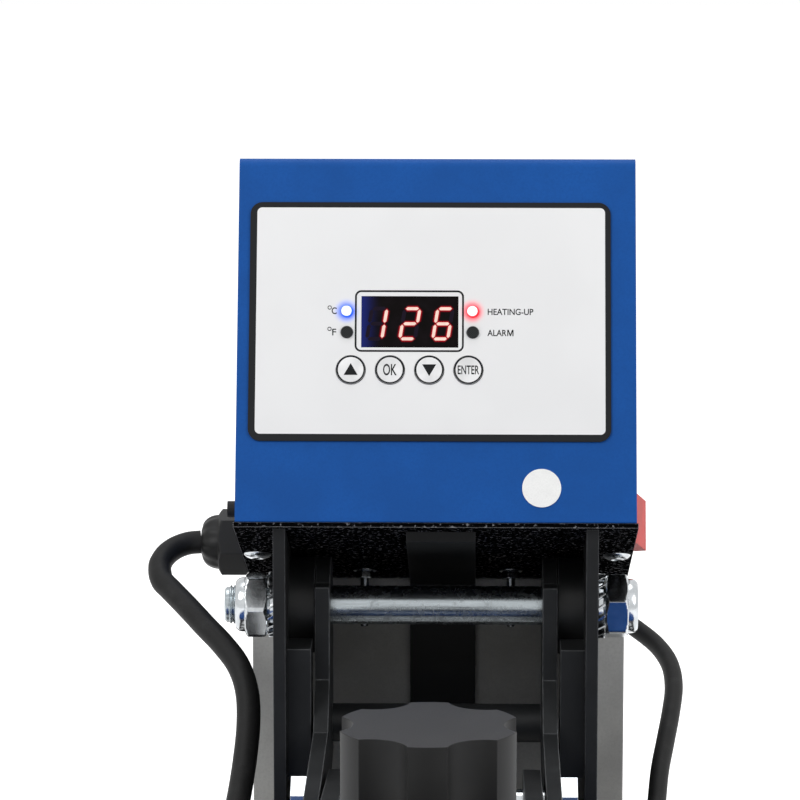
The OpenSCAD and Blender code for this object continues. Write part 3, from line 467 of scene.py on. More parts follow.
def speckled(name, shade, second, size_mm, rough=0.6):
    """Board, paper, ceramic and other grained fillers"""
    look = Look(name)
    grain = look.noise(size_mm, 4, 0.65)
    patch = look.noise(size_mm * 9, 3)
    mixed = look.mix(grain.between(0.35, 0.7), shade, second)
    shade = look.mix(patch.between(0.4, 0.8) * 0.3, mixed, tint(shade, 0.8))
    return look.done(shade, rough + grain * 0.15, grain, 0.04, 0.4)


def make_looks():
    """Builds every finish once, from the scene's colours"""
    c = bpy.context.scene.press_colours
    s = bpy.context.scene.press_sizes
    pick = {name: tuple(getattr(c, name)) for name in PressColours.__annotations__}
    grey_edge = srgb(96, 98, 100)
    LOOKS.update(
        cover=powder_coat("cover_powder_coat", pick["cover"]),
        film=panel_film("panel_film", pick["overlay"], pick["ink"], s.border, pick["lit_blue"],
                        pick["lit_red"]),
        cap=moulded("button_cap", pick["overlay"], 0.4, 0.12),
        ink=print_ink("panel_ink", pick["ink"]),
        frame=satin_paint("frame_satin_black", pick["frame_black"], grey_edge),
        # Arms in a lighter copy of the frame's same black: painted light
        arm=satin_paint("arm_satin_black", tint(pick["frame_black"], 1.7), srgb(130, 132, 134), 0.36),
        spacer=satin_paint("spacer_satin_black", tint(pick["frame_black"], 0.9), grey_edge, 0.38, 0.36),
        # Strap in a darker copy of the frame's same black: painted shade behind the shaft
        strap=satin_paint("strap_black", tint(pick["frame_black"], 0.4), srgb(50, 50, 52), 0.34),
        tray=wrinkle_paint("tray_wrinkle_black", pick["tray_black"]),
        # Rear panel paint lightened: painted light
        rear=powder_coat("rear_panel_grey", pick["panel_grey"]),
        zinc=plated("zinc_plating", pick["zinc"], 0.13, 0.08),
        dull=plated("dull_zinc", tint(pick["zinc"], 0.75), 0.32, 0.2),
        shaft=shaft_steel("shaft_steel", pick["shaft"]),
        plastic=moulded("black_plastic", pick["plastic_black"]),
        rubber=soft_rubber("black_rubber", pick["rubber"]),
        sheath=soft_rubber("cable_sheath", pick["sheath"], 0.5),
        rocker=moulded("rocker_red", pick["rocker"], 0.36, 0.12),
        pad=sponge("silicone_sponge", pick["pad"]),
        plate=machined("machined_aluminium", pick["plate"]),
        blue=lit_lamp("lamp_blue", pick["lit_blue"], BLUE_LAMP),
        red=lit_lamp("lamp_red", pick["lit_red"], RED_LAMP),
        lens=dark_lamp("lamp_unlit", srgb(38, 40, 41)),
        window=display_glass("display_window"),
        bright=glowing("segment_core", (1.0, 0.74, 0.64)),
        halo=glowing("segment_halo", (0.42, 0.008, 0.014)),
        glow=glowing("segment_glow", (0.040, 0.001, 0.004)),
        # Unlit segments glow faintly: painted light in place of what they would reflect
        ghost=glowing("segment_unlit", (0.011, 0.007, 0.016)),
        paper=speckled("sticker_paper", srgb(244, 244, 242), srgb(236, 236, 234), 0.5),
        board=speckled("circuit_board", srgb(24, 84, 48), srgb(34, 104, 60), 1.5, 0.4),
        core=machined("laminated_core", srgb(112, 114, 116), 0.5),
        cream=moulded("cream_plastic", srgb(232, 228, 216), 0.4),
        heater=plated("heat_tinted_steel", srgb(110, 92, 80), 0.4),
        wool=speckled("insulation_board", srgb(217, 212, 200), srgb(196, 190, 176), 1.2, 0.8),
        nylon=moulded("nut_insert", srgb(214, 220, 224), 0.4),
    )


def linked(name, data):
    made = bpy.data.objects.new(name, data)
    bpy.context.scene.collection.objects.link(made)
    return made


def add_piece(name, mesh, look, body, smooth=40, replaces=()):
    """Gives a mesh its finish and lets it ride on a body"""
    mesh.materials.clear()
    mesh.materials.append(LOOKS[look])
    if smooth:
        mesh.shade_smooth()
        mesh.set_sharp_from_angle(angle=math.radians(smooth))
    piece = linked(name, mesh)
    if body:
        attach(piece, body)
    if replaces:
        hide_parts(*replaces)
    return piece


def add_shape(name, bm, look, body, smooth=40, replaces=()):
    bmesh.ops.remove_doubles(bm, verts=bm.verts, dist=1e-7)
    bmesh.ops.recalc_face_normals(bm, faces=bm.faces)
    mesh = bpy.data.meshes.new(name)
    bm.to_mesh(mesh)
    bm.free()
    return add_piece(name, mesh, look, body, smooth, replaces)


def bridge(bm, a, b):
    """Faces between two closed rows of as many points"""
    for k in range(len(a)):
        n = (k + 1) % len(a)
        bm.faces.new((a[k], a[n], b[n], b[k]))


def turned(bm, profile, steps, place):
    """Closed surface round local Z; a profile row is (radius in mm, or radius by angle, height in mm)"""
    rows = []
    for radius, height in profile:
        row = []
        for k in range(steps):
            angle = 2 * math.pi * k / steps
            r = radius(angle) if callable(radius) else radius
            row.append(Vector((r * math.cos(angle), r * math.sin(angle), height)) * MM)
        rows.append([bm.verts.new(place @ p) for p in row])
    for a, b in zip(rows, rows[1:]):
        bridge(bm, a, b)
    return rows


def capped(bm, profile, steps, place):
    rows = turned(bm, profile, steps, place)
    bm.faces.new(rows[0])
    bm.faces.new(rows[-1])


def ringed(bm, profile, steps, place):
    """Closed ring: the profile's last row meets its first"""
    turned(bm, [*profile, profile[0]], steps, place)


# Turned chamfer of a hexagon: end radius and depth as shares of its width, and its slope
CHAMFER_R, CHAMFER_DEEP, CHAMFER_SLOPE = 0.49, 0.085, 1.75


def hex_row(flats, turn, limit):
    """Radius by angle of a hexagon that is turned down to a limit"""
    def radius(angle):
        a = (angle - turn + math.pi / 6) % (math.pi / 3) - math.pi / 6
        return min(flats / 2 / math.cos(a), limit)

    return radius


def hex_body(flats, turn, low, high, count=7):
    """Rows of a hexagon with turned chamfers, from low to high"""
    drops = [flats * CHAMFER_DEEP * k / (count - 1) for k in range(count)]
    rows = [(d, low + d) for d in drops] + [(d, high - d) for d in reversed(drops)]
    return [(hex_row(flats, turn, flats * CHAMFER_R + d * CHAMFER_SLOPE), height) for d, height in rows]


def in_box(x, y, z):
    """A point of the control box's frame, in mm, in the press's frame"""
    return BOX @ (Vector((x, y, z)) * MM)


def box_place(x, y, z, turn=None):
    place = BOX @ Matrix.Translation(Vector((x, y, z)) * MM)
    return place @ turn if turn else place


def plate(bm, outline, y0, y1):
    """Flat shape on the box's face, from y0 out to y1"""
    front, back = ([bm.verts.new(in_box(x, y, z)) for x, z in outline] for y in (y1, y0))
    bm.faces.new(front)
    bm.faces.new(back)
    bridge(bm, front, back)


def band(bm, outer, inner, y0, y1):
    """Flat ring on the box's face between two outlines of as many points"""
    loops = [[bm.verts.new(in_box(x, y, z)) for x, z in line] for line, y in
             ((outer, y0), (outer, y1), (inner, y1), (inner, y0))]
    for a, b in zip(loops, loops[1:] + loops[:1]):
        bridge(bm, a, b)


def rounded_line(cx, cz, w, h, r, steps=8):
    points = []
    for sx, sz, first in ((1, 1, 0), (-1, 1, 90), (-1, -1, 180), (1, -1, 270)):
        for k in range(steps + 1):
            a = math.radians(first + 90 * k / steps)
            points.append((cx + sx * (w / 2 - r) + r * math.cos(a), cz + sz * (h / 2 - r) + r * math.sin(a)))
    return points


def circle_line(cx, cz, r, steps=64):
    return [(cx + r * math.cos(2 * math.pi * k / steps), cz + r * math.sin(2 * math.pi * k / steps))
            for k in range(steps)]


def legend(name, words, left, middle, width, height, y, body, centred=False):
    """Printed words, fitted to a width and a height in mm"""
    data = bpy.data.curves.new(name, "FONT")
    data.body = words
    data.size = 0.01
    data.extrude = 0.02 * MM
    data.offset = 0.14 * MM
    maker = linked(name + "_maker", data)
    graph = bpy.context.evaluated_depsgraph_get()
    mesh = bpy.data.meshes.new_from_object(maker.evaluated_get(graph))
    bpy.data.objects.remove(maker)
    low = Vector([min(v.co[i] for v in mesh.vertices) for i in range(3)])
    high = Vector([max(v.co[i] for v in mesh.vertices) for i in range(3)])
    wide, tall = width * MM / (high.x - low.x), height * MM / (high.y - low.y)
    start = left - width / 2 if centred else left
    for v in mesh.vertices:
        x = start * MM + (v.co.x - low.x) * wide
        z = middle * MM + (v.co.y - (low.y + high.y) / 2) * tall
        v.co = BOX @ Vector((x, y * MM - v.co.z, z))
    mesh.name = name
    return add_piece(name, mesh, "ink", body, 0)


def repeat_tree(name, kind):
    """Geometry Nodes tree that repeats a mesh round an axis or along a line"""
    tree = bpy.data.node_groups.new(name, "GeometryNodeTree")
    face = tree.interface
    face.new_socket("Geometry", in_out="INPUT", socket_type="NodeSocketGeometry")
    face.new_socket("Count", in_out="INPUT", socket_type="NodeSocketInt")
    if kind == "along":
        face.new_socket("Step", in_out="INPUT", socket_type="NodeSocketVector")
    face.new_socket("Geometry", in_out="OUTPUT", socket_type="NodeSocketGeometry")
    new, join = tree.nodes.new, tree.links.new
    entry, leave = new("NodeGroupInput"), new("NodeGroupOutput")
    place = new("GeometryNodeInstanceOnPoints")
    spots = new("GeometryNodeMeshLine")
    join(entry.outputs["Count"], spots.inputs["Count"])
    if kind == "along":
        join(entry.outputs["Step"], spots.inputs["Offset"])
    else:
        spots.inputs["Offset"].default_value = (0, 0, 0)
        index = new("GeometryNodeInputIndex")
        share, turn = new("ShaderNodeMath"), new("ShaderNodeMath")
        share.operation, turn.operation = "DIVIDE", "MULTIPLY"
        turn.inputs[1].default_value = 2 * math.pi
        join(index.outputs[0], share.inputs[0])
        join(entry.outputs["Count"], share.inputs[1])
        join(share.outputs[0], turn.inputs[0])
        angles, rotation = new("ShaderNodeCombineXYZ"), new("FunctionNodeEulerToRotation")
        join(turn.outputs[0], angles.inputs[2])
        join(angles.outputs[0], rotation.inputs[0])
        join(rotation.outputs[0], place.inputs["Rotation"])
    join(spots.outputs[0], place.inputs["Points"])
    join(entry.outputs["Geometry"], place.inputs["Instance"])
    real = new("GeometryNodeRealizeInstances")
    join(place.outputs[0], real.inputs[0])
    join(real.outputs[0], leave.inputs[0])
    return tree


def repeated(bm, tree, places, **values):
    """Runs a repeat tree on one small shape, and joins a copy of the result at each place"""
    mesh = bpy.data.meshes.new("repeat_shape")
    bmesh.ops.recalc_face_normals(bm, faces=bm.faces)
    bm.to_mesh(mesh)
    bm.free()
    maker = linked("repeat_maker", mesh)
    modifier = maker.modifiers.new("repeat", "NODES")
    modifier.node_group = tree
    for item in tree.interface.items_tree:
        if item.in_out == "INPUT" and item.name in values:
            modifier[item.identifier] = values[item.name]
    graph = bpy.context.evaluated_depsgraph_get()
    made = bpy.data.meshes.new_from_object(maker.evaluated_get(graph))
    bpy.data.objects.remove(maker)
    joined = bmesh.new()
    for place in places:
        copy = made.copy()
        copy.transform(place)
        joined.from_mesh(copy)
        bpy.data.meshes.remove(copy)
    bpy.data.meshes.remove(made)
    return joined


def smooth_route(points, per=8):
    """Points of one smooth curve through a route, in metres"""
    p = [Vector(q) for q in points]
    p = [2 * p[0] - p[1], *p, 2 * p[-1] - p[-2]]
    out = []
    for a, b, c, d in zip(p, p[1:], p[2:], p[3:]):
        for k in range(per):
            t = k / per
            out.append(0.5 * (2 * b + (c - a) * t + (2 * a - 5 * b + 4 * c - d) * t * t
                              + (3 * b - a - 3 * c + d) * t ** 3))
    return [*out, p[-2]]


def tube(bm, path, radius, steps=18):
    """Closed tube along a path, turned as little as possible from ring to ring"""
    side = None
    rings = []
    for k, spot in enumerate(path):
        ahead = (path[min(k + 1, len(path) - 1)] - path[max(k - 1, 0)]).normalized()
        if side is None:
            side = ahead.orthogonal().normalized()
        side = (side - ahead * side.dot(ahead)).normalized()
        up = ahead.cross(side)
        rings.append([bm.verts.new(spot + radius * (math.cos(a) * side + math.sin(a) * up))
                      for a in (2 * math.pi * n / steps for n in range(steps))])
    for a, b in zip(rings, rings[1:]):
        bridge(bm, a, b)
    bm.faces.new(rings[0])
    bm.faces.new(rings[-1])


# Cable routes from the shaft's middle, in mm, as the solids have them
HEATER_ROUTE = [
    (-102.3, 78.82, 9.73), (-107.55, 78.1, 9.33), (-112.3, 75.97, 8.13), (-116.05, 72.72, 6.23),
    (-118.5, 68.57, 3.83), (-119.3, 64.07, 1.23), (-117.8, 57.37, -2.57), (-113.4, 51.77, -5.77),
    (-106, 43.37, -11.09), (-98, 34.14, -17.16), (-90, 24.84, -23.01), (-83, 15.73, -29.93),
    (-79, 6.43, -38.86), (-78, -3.5, -50), (-79, -16, -63), (-81, -31, -76), (-84, -47, -89),
    (-87, -63, -102), (-89, -75, -112), (-90, -83.5, -118), (-90, -90, -120), (-90, -95, -120),
]
SENSOR_ROUTE = [
    (55, 119.2, -0.4), (55, 125, -2.6), (56.5, 131, -7), (61, 135, -15), (67, 135, -24), (76, 131, -32),
    (87, 123, -38), (96, 111, -43), (101, 96, -48), (102, 80, -54), (100, 62, -61), (97, 44, -69),
    (94, 26, -77), (92, 8, -86), (90, -10, -95), (90, -28, -103), (90, -46, -110), (90, -64, -116),
    (90, -80, -119.3), (90, -88, -120), (90, -95, -120),
]


class HEATPRESS_OT_cables(bpy.types.Operator):
    """Heater and sensor cables from their glands down to the heated platen"""

    bl_idname = "heatpress.cables"
    bl_label = "Cables"

    def execute(self, context):
        sizes = context.scene.press_sizes
        for name, node, route, thick in (
            ("heater_lead", "heater_cable", HEATER_ROUTE, sizes.heater_cable),
            ("sensor_lead", "sensor_cable", SENSOR_ROUTE, sizes.sensor_cable),
        ):
            path = smooth_route([SHAFT + Vector(p) * MM for p in route])
            bm = bmesh.new()
            tube(bm, path, thick / 2)
            lead = add_shape(name, bm, "sheath", None, 60)
            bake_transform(lead)
            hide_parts(node)
            long = sum((b - a).length for a, b in zip(path, path[1:]))
        return {"FINISHED"}


class HEATPRESS_OT_finishes(bpy.types.Operator):
    """Paint, plating, plastic and rubber on the solids that keep their shape"""

    bl_idname = "heatpress.finishes"
    bl_label = "Finishes"

    def execute(self, context):
        for look, nodes in FINISHES.items():
            for name in nodes:
                solid = bpy.data.objects[name]
                for place in solid.material_slots:
                    place.material = LOOKS[look]
        return {"FINISHED"}


FINISHES = {
    "frame": ("side_rails", "cross_bars", "uprights", "handle_bars", "handle_block", "handle_rod",
              "pressure_mount", "arm_guides", "lower_platen"),
    "arm": ("arm_plates", "arm_braces"),
    "spacer": ("shaft_spacers",),
    "strap": ("centre_strap",),
    "tray": ("box_tray",),
    "rear": ("rear_panel",),
    "cover": ("box_cover", "platen_cover"),
    "film": ("panel_overlay",),
    "cap": ("button_up", "button_ok", "button_down", "button_enter"),
    "window": ("display_module",),
    "red": ("heat_lamp",),
    "blue": ("scale_lamp",),
    "lens": ("spare_lamps",),
    "paper": ("round_sticker",),
    "zinc": ("upright_bolts", "arm_bolts", "handle_pin", "platen_bolts", "press_bar", "board_posts"),
    "dull": ("platen_posts",),
    "shaft": ("pressure_screw",),
    "plastic": ("rail_end_caps", "switch_housing", "power_inlet", "pressure_knob", "box_screws"),
    "rubber": ("rubber_feet", "handle_grip", "cable_grommets"),
    "rocker": ("switch_rocker",),
    "plate": ("heat_plate",),
    "heater": ("heating_element",),
    "wool": ("insulation_board",),
    "board": ("control_board",),
    "core": ("transformer",),
    "cream": ("terminal_block", "power_relay"),
}

# The pivot's stack along the shaft, in mm from the middle; each side with its nut's turn; the shaft's ends
UPRIGHT_OUT, WASHER_OUT, HEX_OUT, NUT_OUT = 65.5, 69.7, 78.9, 82.9
SIDES = ((1, 40), (-1, 1))
TIPS = {1: 82.9, -1: 87.4}
# Radii in mm: shaft, thread root, shaft's chamfered end and its flat, and the teeth from root to tip
SHAFT_R, ROOT_R, TIP_R, END_R = 8.0, 7.2, 6.6, 5.8
TOOTH_IN, TOOTH_OUT, TOOTH_LEAN = 10.0, 13.4, 35
TIP_BARE, RUN_OUT = 0.9, 0.8


def side_place(side, out):
    """Local Z points away from the press along the shaft"""
    spot = SHAFT + Vector((side * out, 0, 0)) * MM
    return Matrix.Translation(spot) @ Matrix.Rotation(side * math.pi / 2, 4, "Y")


class HEATPRESS_OT_pivot(bpy.types.Operator):
    """Shaft with its threads, toothed lock washers and collared nuts"""

    bl_idname = "heatpress.pivot"
    bl_label = "Pivot shaft"

    def execute(self, context):
        sizes = context.scene.press_sizes
        along, around = repeat_tree("ridges", "along"), repeat_tree("teeth", "around")
        pitch = sizes.thread_pitch / MM

        ridge = bmesh.new()
        half = pitch / 2
        ringed(ridge, [(ROOT_R - 0.2, -half), (ROOT_R, -half * 0.8), (SHAFT_R, -half * 0.15),
                       (SHAFT_R, half * 0.15), (ROOT_R, half * 0.8), (ROOT_R - 0.2, half)], 40, Matrix())
        count = int((NUT_OUT - TIP_BARE - UPRIGHT_OUT) / pitch)
        starts = [side_place(s, TIPS[s] - TIP_BARE - count * pitch) for s, _ in SIDES]
        shaft = repeated(ridge, along, starts, Count=count, Step=(0, 0, pitch * MM))
        bare, left, right = UPRIGHT_OUT - 1, -TIPS[-1], TIPS[1]
        capped(shaft, [(END_R, left), (TIP_R, left), (ROOT_R, left + 0.7), (ROOT_R, -bare - RUN_OUT),
                       (SHAFT_R, -bare), (SHAFT_R, 0), (SHAFT_R, bare), (ROOT_R, bare + RUN_OUT),
                       (ROOT_R, right - 0.7), (TIP_R, right), (END_R, right)], 64, side_place(1, 0))
        add_shape("pivot_shaft", shaft, "shaft", "base", 35, ["main_shaft"])

        tooth = bmesh.new()
        lean = Matrix.Rotation(math.radians(TOOTH_LEAN), 3, "X")
        corners = {}
        for x, thin, high in ((TOOTH_IN, 1, 0.5), (TOOTH_OUT, 0.8, 1)):
            for y in (-0.5, 0.5):
                for z in (-2.0, 2.0):
                    spot = lean @ Vector((0, y * thin, z * high))
                    corners[x, y, z] = tooth.verts.new((Vector((x, 0, 0)) + spot) * MM)
        centre = ((TOOTH_IN + TOOTH_OUT) / 2, 0, 0)
        for axis in range(3):
            others = [i for i in range(3) if i != axis]
            for value in sorted({key[axis] for key in corners}):
                four = [key for key in corners if key[axis] == value]
                four.sort(key=lambda key: math.atan2(*[key[i] - centre[i] for i in others]))
                tooth.faces.new([corners[key] for key in four])
        places = [side_place(s, (UPRIGHT_OUT + WASHER_OUT) / 2) for s, _ in SIDES]
        washers = repeated(tooth, around, places, Count=sizes.washer_teeth)
        for place in places:
            ringed(washers, [(8.3, -1.2), (10.6, -1.2), (10.9, -0.9), (10.9, 0.9), (10.6, 1.2), (8.3, 1.2)],
                   64, place)
        add_shape("tooth_washers", washers, "zinc", "base", 30, ["lock_washers"])

        flats = sizes.nut_flats / MM
        nuts, inserts = bmesh.new(), bmesh.new()
        high, top = HEX_OUT - WASHER_OUT, NUT_OUT - WASHER_OUT
        for s, turn in SIDES:
            place = side_place(s, WASHER_OUT)
            ringed(nuts, [(8.4, 0), *hex_body(flats, math.radians(turn), 0, high), (11.3, high),
                          (11.2, high + 1.8), (10.8, high + 2.9), (10.1, top - 0.3), (9.6, top), (9.2, top),
                          (9.0, top - 0.9), (8.4, top - 0.9)], 96, place)
            ringed(inserts, [(8.15, top - 3), (8.95, top - 3), (8.95, top - 0.55), (8.15, top - 0.5)], 48,
                   place)
        add_shape("collar_nuts", nuts, "zinc", "base", 25, ["shaft_nuts"])
        add_shape("nut_inserts", inserts, "nylon", "base")
        return {"FINISHED"}


# In mm in the box's frame. A gland: place, axis that turns it outward, width across flats, neck radius,
# heights of hexagon and dome, bore radius
GLANDS = (((-80.5, 133, 13), "Y", 25, 12, 14, 7.5, 5.3), ((55, 155, 18), "X", 20, 10, 12, 7, 4.3))
TRAY_Z = -2
SCREW_X, SCREW_Y = 74.5, 68
BOLT_X, BOLT_Y, BOLT_PITCH, BOLT_RIDGES = 31, 108, 0.7, 34


def under_tray(x, y):
    """Local Z points down from the tray's underside"""
    return box_place(x, y, TRAY_Z, Matrix.Rotation(math.pi, 4, "X"))


class HEATPRESS_OT_box_hardware(bpy.types.Operator):
    """Glands, dome screws and long tray bolts of the control box"""

    bl_idname = "heatpress.box_hardware"
    bl_label = "Box hardware"

    def execute(self, context):
        glands = bmesh.new()
        for spot, axis, flats, neck, tall, dome, bore in GLANDS:
            crown, lip = [], bore + 0.7
            for k in range(11):
                a = math.pi / 2 * k / 10
                r = lip + (flats * 0.47 - lip) * math.cos(a)
                ribs = 0.5 * min(1, 4 * math.sin(2 * a))
                crown.append((lambda angle, r=r, ribs=ribs: r - ribs * (0.5 + 0.5 * math.cos(12 * angle)),
                              tall + (dome - 0.2) * math.sin(a)))
            ringed(glands, [(bore, 0.05), (neck, 0.05), (neck, 1),
                            *hex_body(flats, math.radians(30), 1, tall), *crown,
                            (bore + 0.5, tall + dome), (bore, tall + dome - 0.6)], 96,
                   box_place(*spot, Matrix.Rotation(-math.pi / 2, 4, axis)))
        add_shape("cable_fittings", glands, "plastic", "base", 25, ["cable_glands"])

        screws = bmesh.new()
        for x in (-SCREW_X, SCREW_X):
            capped(screws, [(5.7, 0), (5.8, 0.25), (5.75, 0.6), (5.3, 1.2), (4.5, 1.75), (3.4, 2.2),
                            (2.6, 2.4), (2.3, 2.5), (2.0, 2.2), (1.2, 1.3), (0.4, 1.1)], 40,
                   under_tray(x, SCREW_Y))
        add_shape("dome_screws", screws, "zinc", "base", 50, ["cover_screws"])

        ridge = bmesh.new()
        ringed(ridge, [(1.5, -0.35), (1.7, -0.28), (2.0, -0.05), (2.0, 0.05), (1.7, 0.28), (1.5, 0.35)], 20,
               Matrix())
        spots = [under_tray(x, BOLT_Y) for x in (-BOLT_X, BOLT_X)]
        starts = [p @ Matrix.Translation((0, 0, 0.6 * MM)) for p in spots]
        bolts = repeated(ridge, repeat_tree("threads", "along"), starts, Count=BOLT_RIDGES,
                         Step=(0, 0, BOLT_PITCH * MM))
        for place in spots:
            capped(bolts, [(1.2, -9), (1.7, -9), (1.7, 24.4), (1.3, 25), (0.6, 25)], 20, place)
            ringed(bolts, [(2.1, 0.3), (4.8, 0.3), (5, 0.5), (5, 1.1), (4.8, 1.3), (2.1, 1.3)], 40, place)
            ringed(bolts, [(2.1, 1.4), *hex_body(7, math.radians(18), 1.4, 4.6), (2.1, 4.6)], 48, place)
        add_shape("long_bolts", bolts, "zinc", "base", 30, ["tray_bolts"])
        return {"FINISHED"}


# The pad's edge: mm in from its side, and share of its height
PAD_EDGE = ((6, 0.02), (1.2, 0.02), (0.35, 0.12), (0, 0.32), (0, 0.66), (0.35, 0.86), (1.2, 0.97), (6, 1.0),
            (30, 1.0))
PAD_CORNER = 12


class HEATPRESS_OT_pad(bpy.types.Operator):
    """Silicone sponge pad with its rounded corners and slightly soft edges"""

    bl_idname = "heatpress.pad"
    bl_label = "Silicone pad"

    def execute(self, context):
        low, high = (Vector(c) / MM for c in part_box("silicone_pad"))
        mid, tall = (low + high) / 2, high.z - low.z
        bm = bmesh.new()
        rings = []
        for inset, rise in PAD_EDGE:
            line = rounded_line(mid.x, mid.y, high.x - low.x - 2 * inset, high.y - low.y - 2 * inset,
                                max(PAD_CORNER - inset, 3), 10)
            rings.append([bm.verts.new(Vector((x, y, low.z + tall * rise)) * MM) for x, y in line])
        for a, b in zip(rings, rings[1:]):
            bridge(bm, a, b)
        bm.faces.new(rings[0])
        bm.faces.new(rings[-1])
        pad = add_shape("sponge_pad", bm, "pad", "base", 60, ["silicone_pad"])
        return {"FINISHED"}


# Keys: body, middle and sign; a key's face, its ring's radius, and the ink's thickness
KEYS = (("key_up", -34.5, "up"), ("key_ok", -18.7, "OK"), ("key_down", -2.9, "down"),
        ("key_enter", 12.9, "ENTER"))
KEY_Z, KEY_FACE, RING_R, PROUD = 61.9, -1.3, 5.78, 0.05
SIGN_SIZE = {"OK": (5.5, 4.7), "ENTER": (8.6, 3.6)}
# The printed frame round the display: middle, width, height, line, and its outer and inner corners
WINDOW = (-11, 82, 44, 25.4, 0.75, 2.6, 1.9)
DEGREE_X, DEGREE_Z, DEGREE_R = -43.2, (87.5, 78.7), (0.85, 0.55)
# Name, words, left edge, middle height, width and height
LEGENDS = (
    ("legend_celsius", "C", -42.4, 86.2, 2.1, 2.75),
    ("legend_fahrenheit", "F", -42.1, 77.4, 1.6, 2.75),
    ("legend_heating", "HEATING-UP", 20.6, 85.9, 18.4, 2.6),
    ("legend_alarm", "ALAR", 20.5, 77.2, 7.75, 2.6),
)
# The font's M doesn't fill when it is thickened, so ALARM's last letter is drawn, from its lower left corner
LETTER_M = ((0, 0), (0, 2.6), (0.56, 2.6), (1.25, 0.75), (1.94, 2.6), (2.5, 2.6), (2.5, 0), (2.1, 0),
            (2.1, 1.8), (1.43, 0), (1.07, 0), (0.4, 1.8), (0.4, 0))
M_X, M_Z = 28.5, 75.9


class HEATPRESS_OT_print(bpy.types.Operator):
    """Printed frame of the display, key rings with their signs, and the lamp legends"""

    bl_idname = "heatpress.panel_print"
    bl_label = "Panel print"

    def execute(self, context):
        line = context.scene.press_sizes.line / MM
        x, z, wide, tall, thick, outer, inner = WINDOW
        ring = bmesh.new()
        band(ring, rounded_line(x, z, wide, tall, outer),
             rounded_line(x, z, wide - 2 * thick, tall - 2 * thick, inner), FILM_Y, FILM_Y - PROUD)
        for z in DEGREE_Z:
            band(ring, *(circle_line(DEGREE_X, z, r, 32) for r in DEGREE_R), FILM_Y, FILM_Y - PROUD)
        add_shape("display_frame", ring, "ink", "base", 0)
        for body, x, sign in KEYS:
            bm = bmesh.new()
            band(bm, circle_line(x, KEY_Z, RING_R), circle_line(x, KEY_Z, RING_R - line), KEY_FACE,
                 KEY_FACE - PROUD)
            if sign in ("up", "down"):
                way = 1 if sign == "up" else -1
                foot = KEY_Z - 2.2 * way
                plate(bm, [(x - 2.8, foot), (x + 2.8, foot), (x, KEY_Z + 2.6 * way)], KEY_FACE,
                      KEY_FACE - PROUD)
            add_shape(body + "_ring", bm, "ink", body, 0)
            if sign in SIGN_SIZE:
                legend("sign_" + sign.lower(), sign, x, KEY_Z, *SIGN_SIZE[sign], KEY_FACE, body, True)
        for name, *spec in LEGENDS:
            legend(name, *spec, FILM_Y, "base")
        last = bmesh.new()
        plate(last, [(M_X + x, M_Z + z) for x, z in LETTER_M], FILM_Y, FILM_Y - PROUD)
        add_shape("legend_alarm_end", last, "ink", "base", 0)
        return {"FINISHED"}


# Which of the segments a to g light for a figure
FIGURES = {"0": "abcdef", "1": "bc", "2": "abged", "3": "abgcd", "4": "fgbc", "5": "afgcd", "6": "afgecd",
           "7": "abc", "8": "abcdefg", "9": "abcdfg"}
# First figure's corner, a figure's width and slant; how far each layer grows past a segment and stands out
FIRST_X, FOOT_Z, FIGURE_W, SLANT = -29.0, 73.9, 7.6, 0.16
LAYERS = {"ghost": (0, 0.02), "glow": (0.75, 0.03), "halo": (0.3, 0.04), "bright": (-0.15, 0.05)}


def segment_line(letter, wide, tall, thick, grow):
    """Outline of one segment, from the figure's lower left corner, in mm"""
    t, g = thick + 2 * grow, 0.25 - grow
    if letter in "agd":
        z = {"a": tall - thick / 2, "g": tall / 2, "d": thick / 2}[letter]
        a, b = thick / 2 + g, wide - thick / 2 - g
        points = [(a, z), (a + t / 2, z + t / 2), (b - t / 2, z + t / 2), (b, z), (b - t / 2, z - t / 2),
                  (a + t / 2, z - t / 2)]
    else:
        x = thick / 2 if letter in "fe" else wide - thick / 2
        low, high = (tall / 2 + g, tall - thick / 2 - g) if letter in "fb" else (thick / 2 + g, tall / 2 - g)
        points = [(x, low), (x + t / 2, low + t / 2), (x + t / 2, high - t / 2), (x, high),
                  (x - t / 2, high - t / 2), (x - t / 2, low + t / 2)]
    return points


class HEATPRESS_OT_reading(bpy.types.Operator):
    """Slanted figures of the display, lit segments over a red glow and faint unlit ones"""

    bl_idname = "heatpress.reading"
    bl_label = "Display figures"

    def execute(self, context):
        sizes = context.scene.press_sizes
        tall, pitch, thick = (v / MM for v in (sizes.digit_height, sizes.digit_pitch, sizes.segment))
        shapes = {look: bmesh.new() for look in LAYERS}
        for k, figure in enumerate(sizes.reading):
            for letter in "abcdefg":
                lit = letter in FIGURES[figure]
                for look in (("glow", "halo", "bright") if lit else ("ghost",)):
                    grow, lift = LAYERS[look]
                    points = [(FIRST_X + k * pitch + x + z * SLANT, FOOT_Z + z)
                              for x, z in segment_line(letter, FIGURE_W, tall, thick, grow)]
                    plate(shapes[look], points, FILM_Y, FILM_Y - lift)
        for look, bm in shapes.items():
            add_shape("figures_" + look, bm, look, "base", 0)
        return {"FINISHED"}


# The photo's view: degrees up and right, distance in metres, lens; the point looked at, from the face, in mm
VIEW_RISE, VIEW_ASIDE, VIEW_AWAY, VIEW_LENS = 10, 1.05, 1.72, 193.5
VIEW_LEFT, VIEW_UP = 14.4, 48.8
FLOOR_HALF, AMBIENT = 6, 0.5


def aimed(spot, target):
    """Place of a camera or light that looks from a spot at a target"""
    return Matrix.Translation(spot) @ (target - spot).to_track_quat("-Z", "Y").to_matrix().to_4x4()


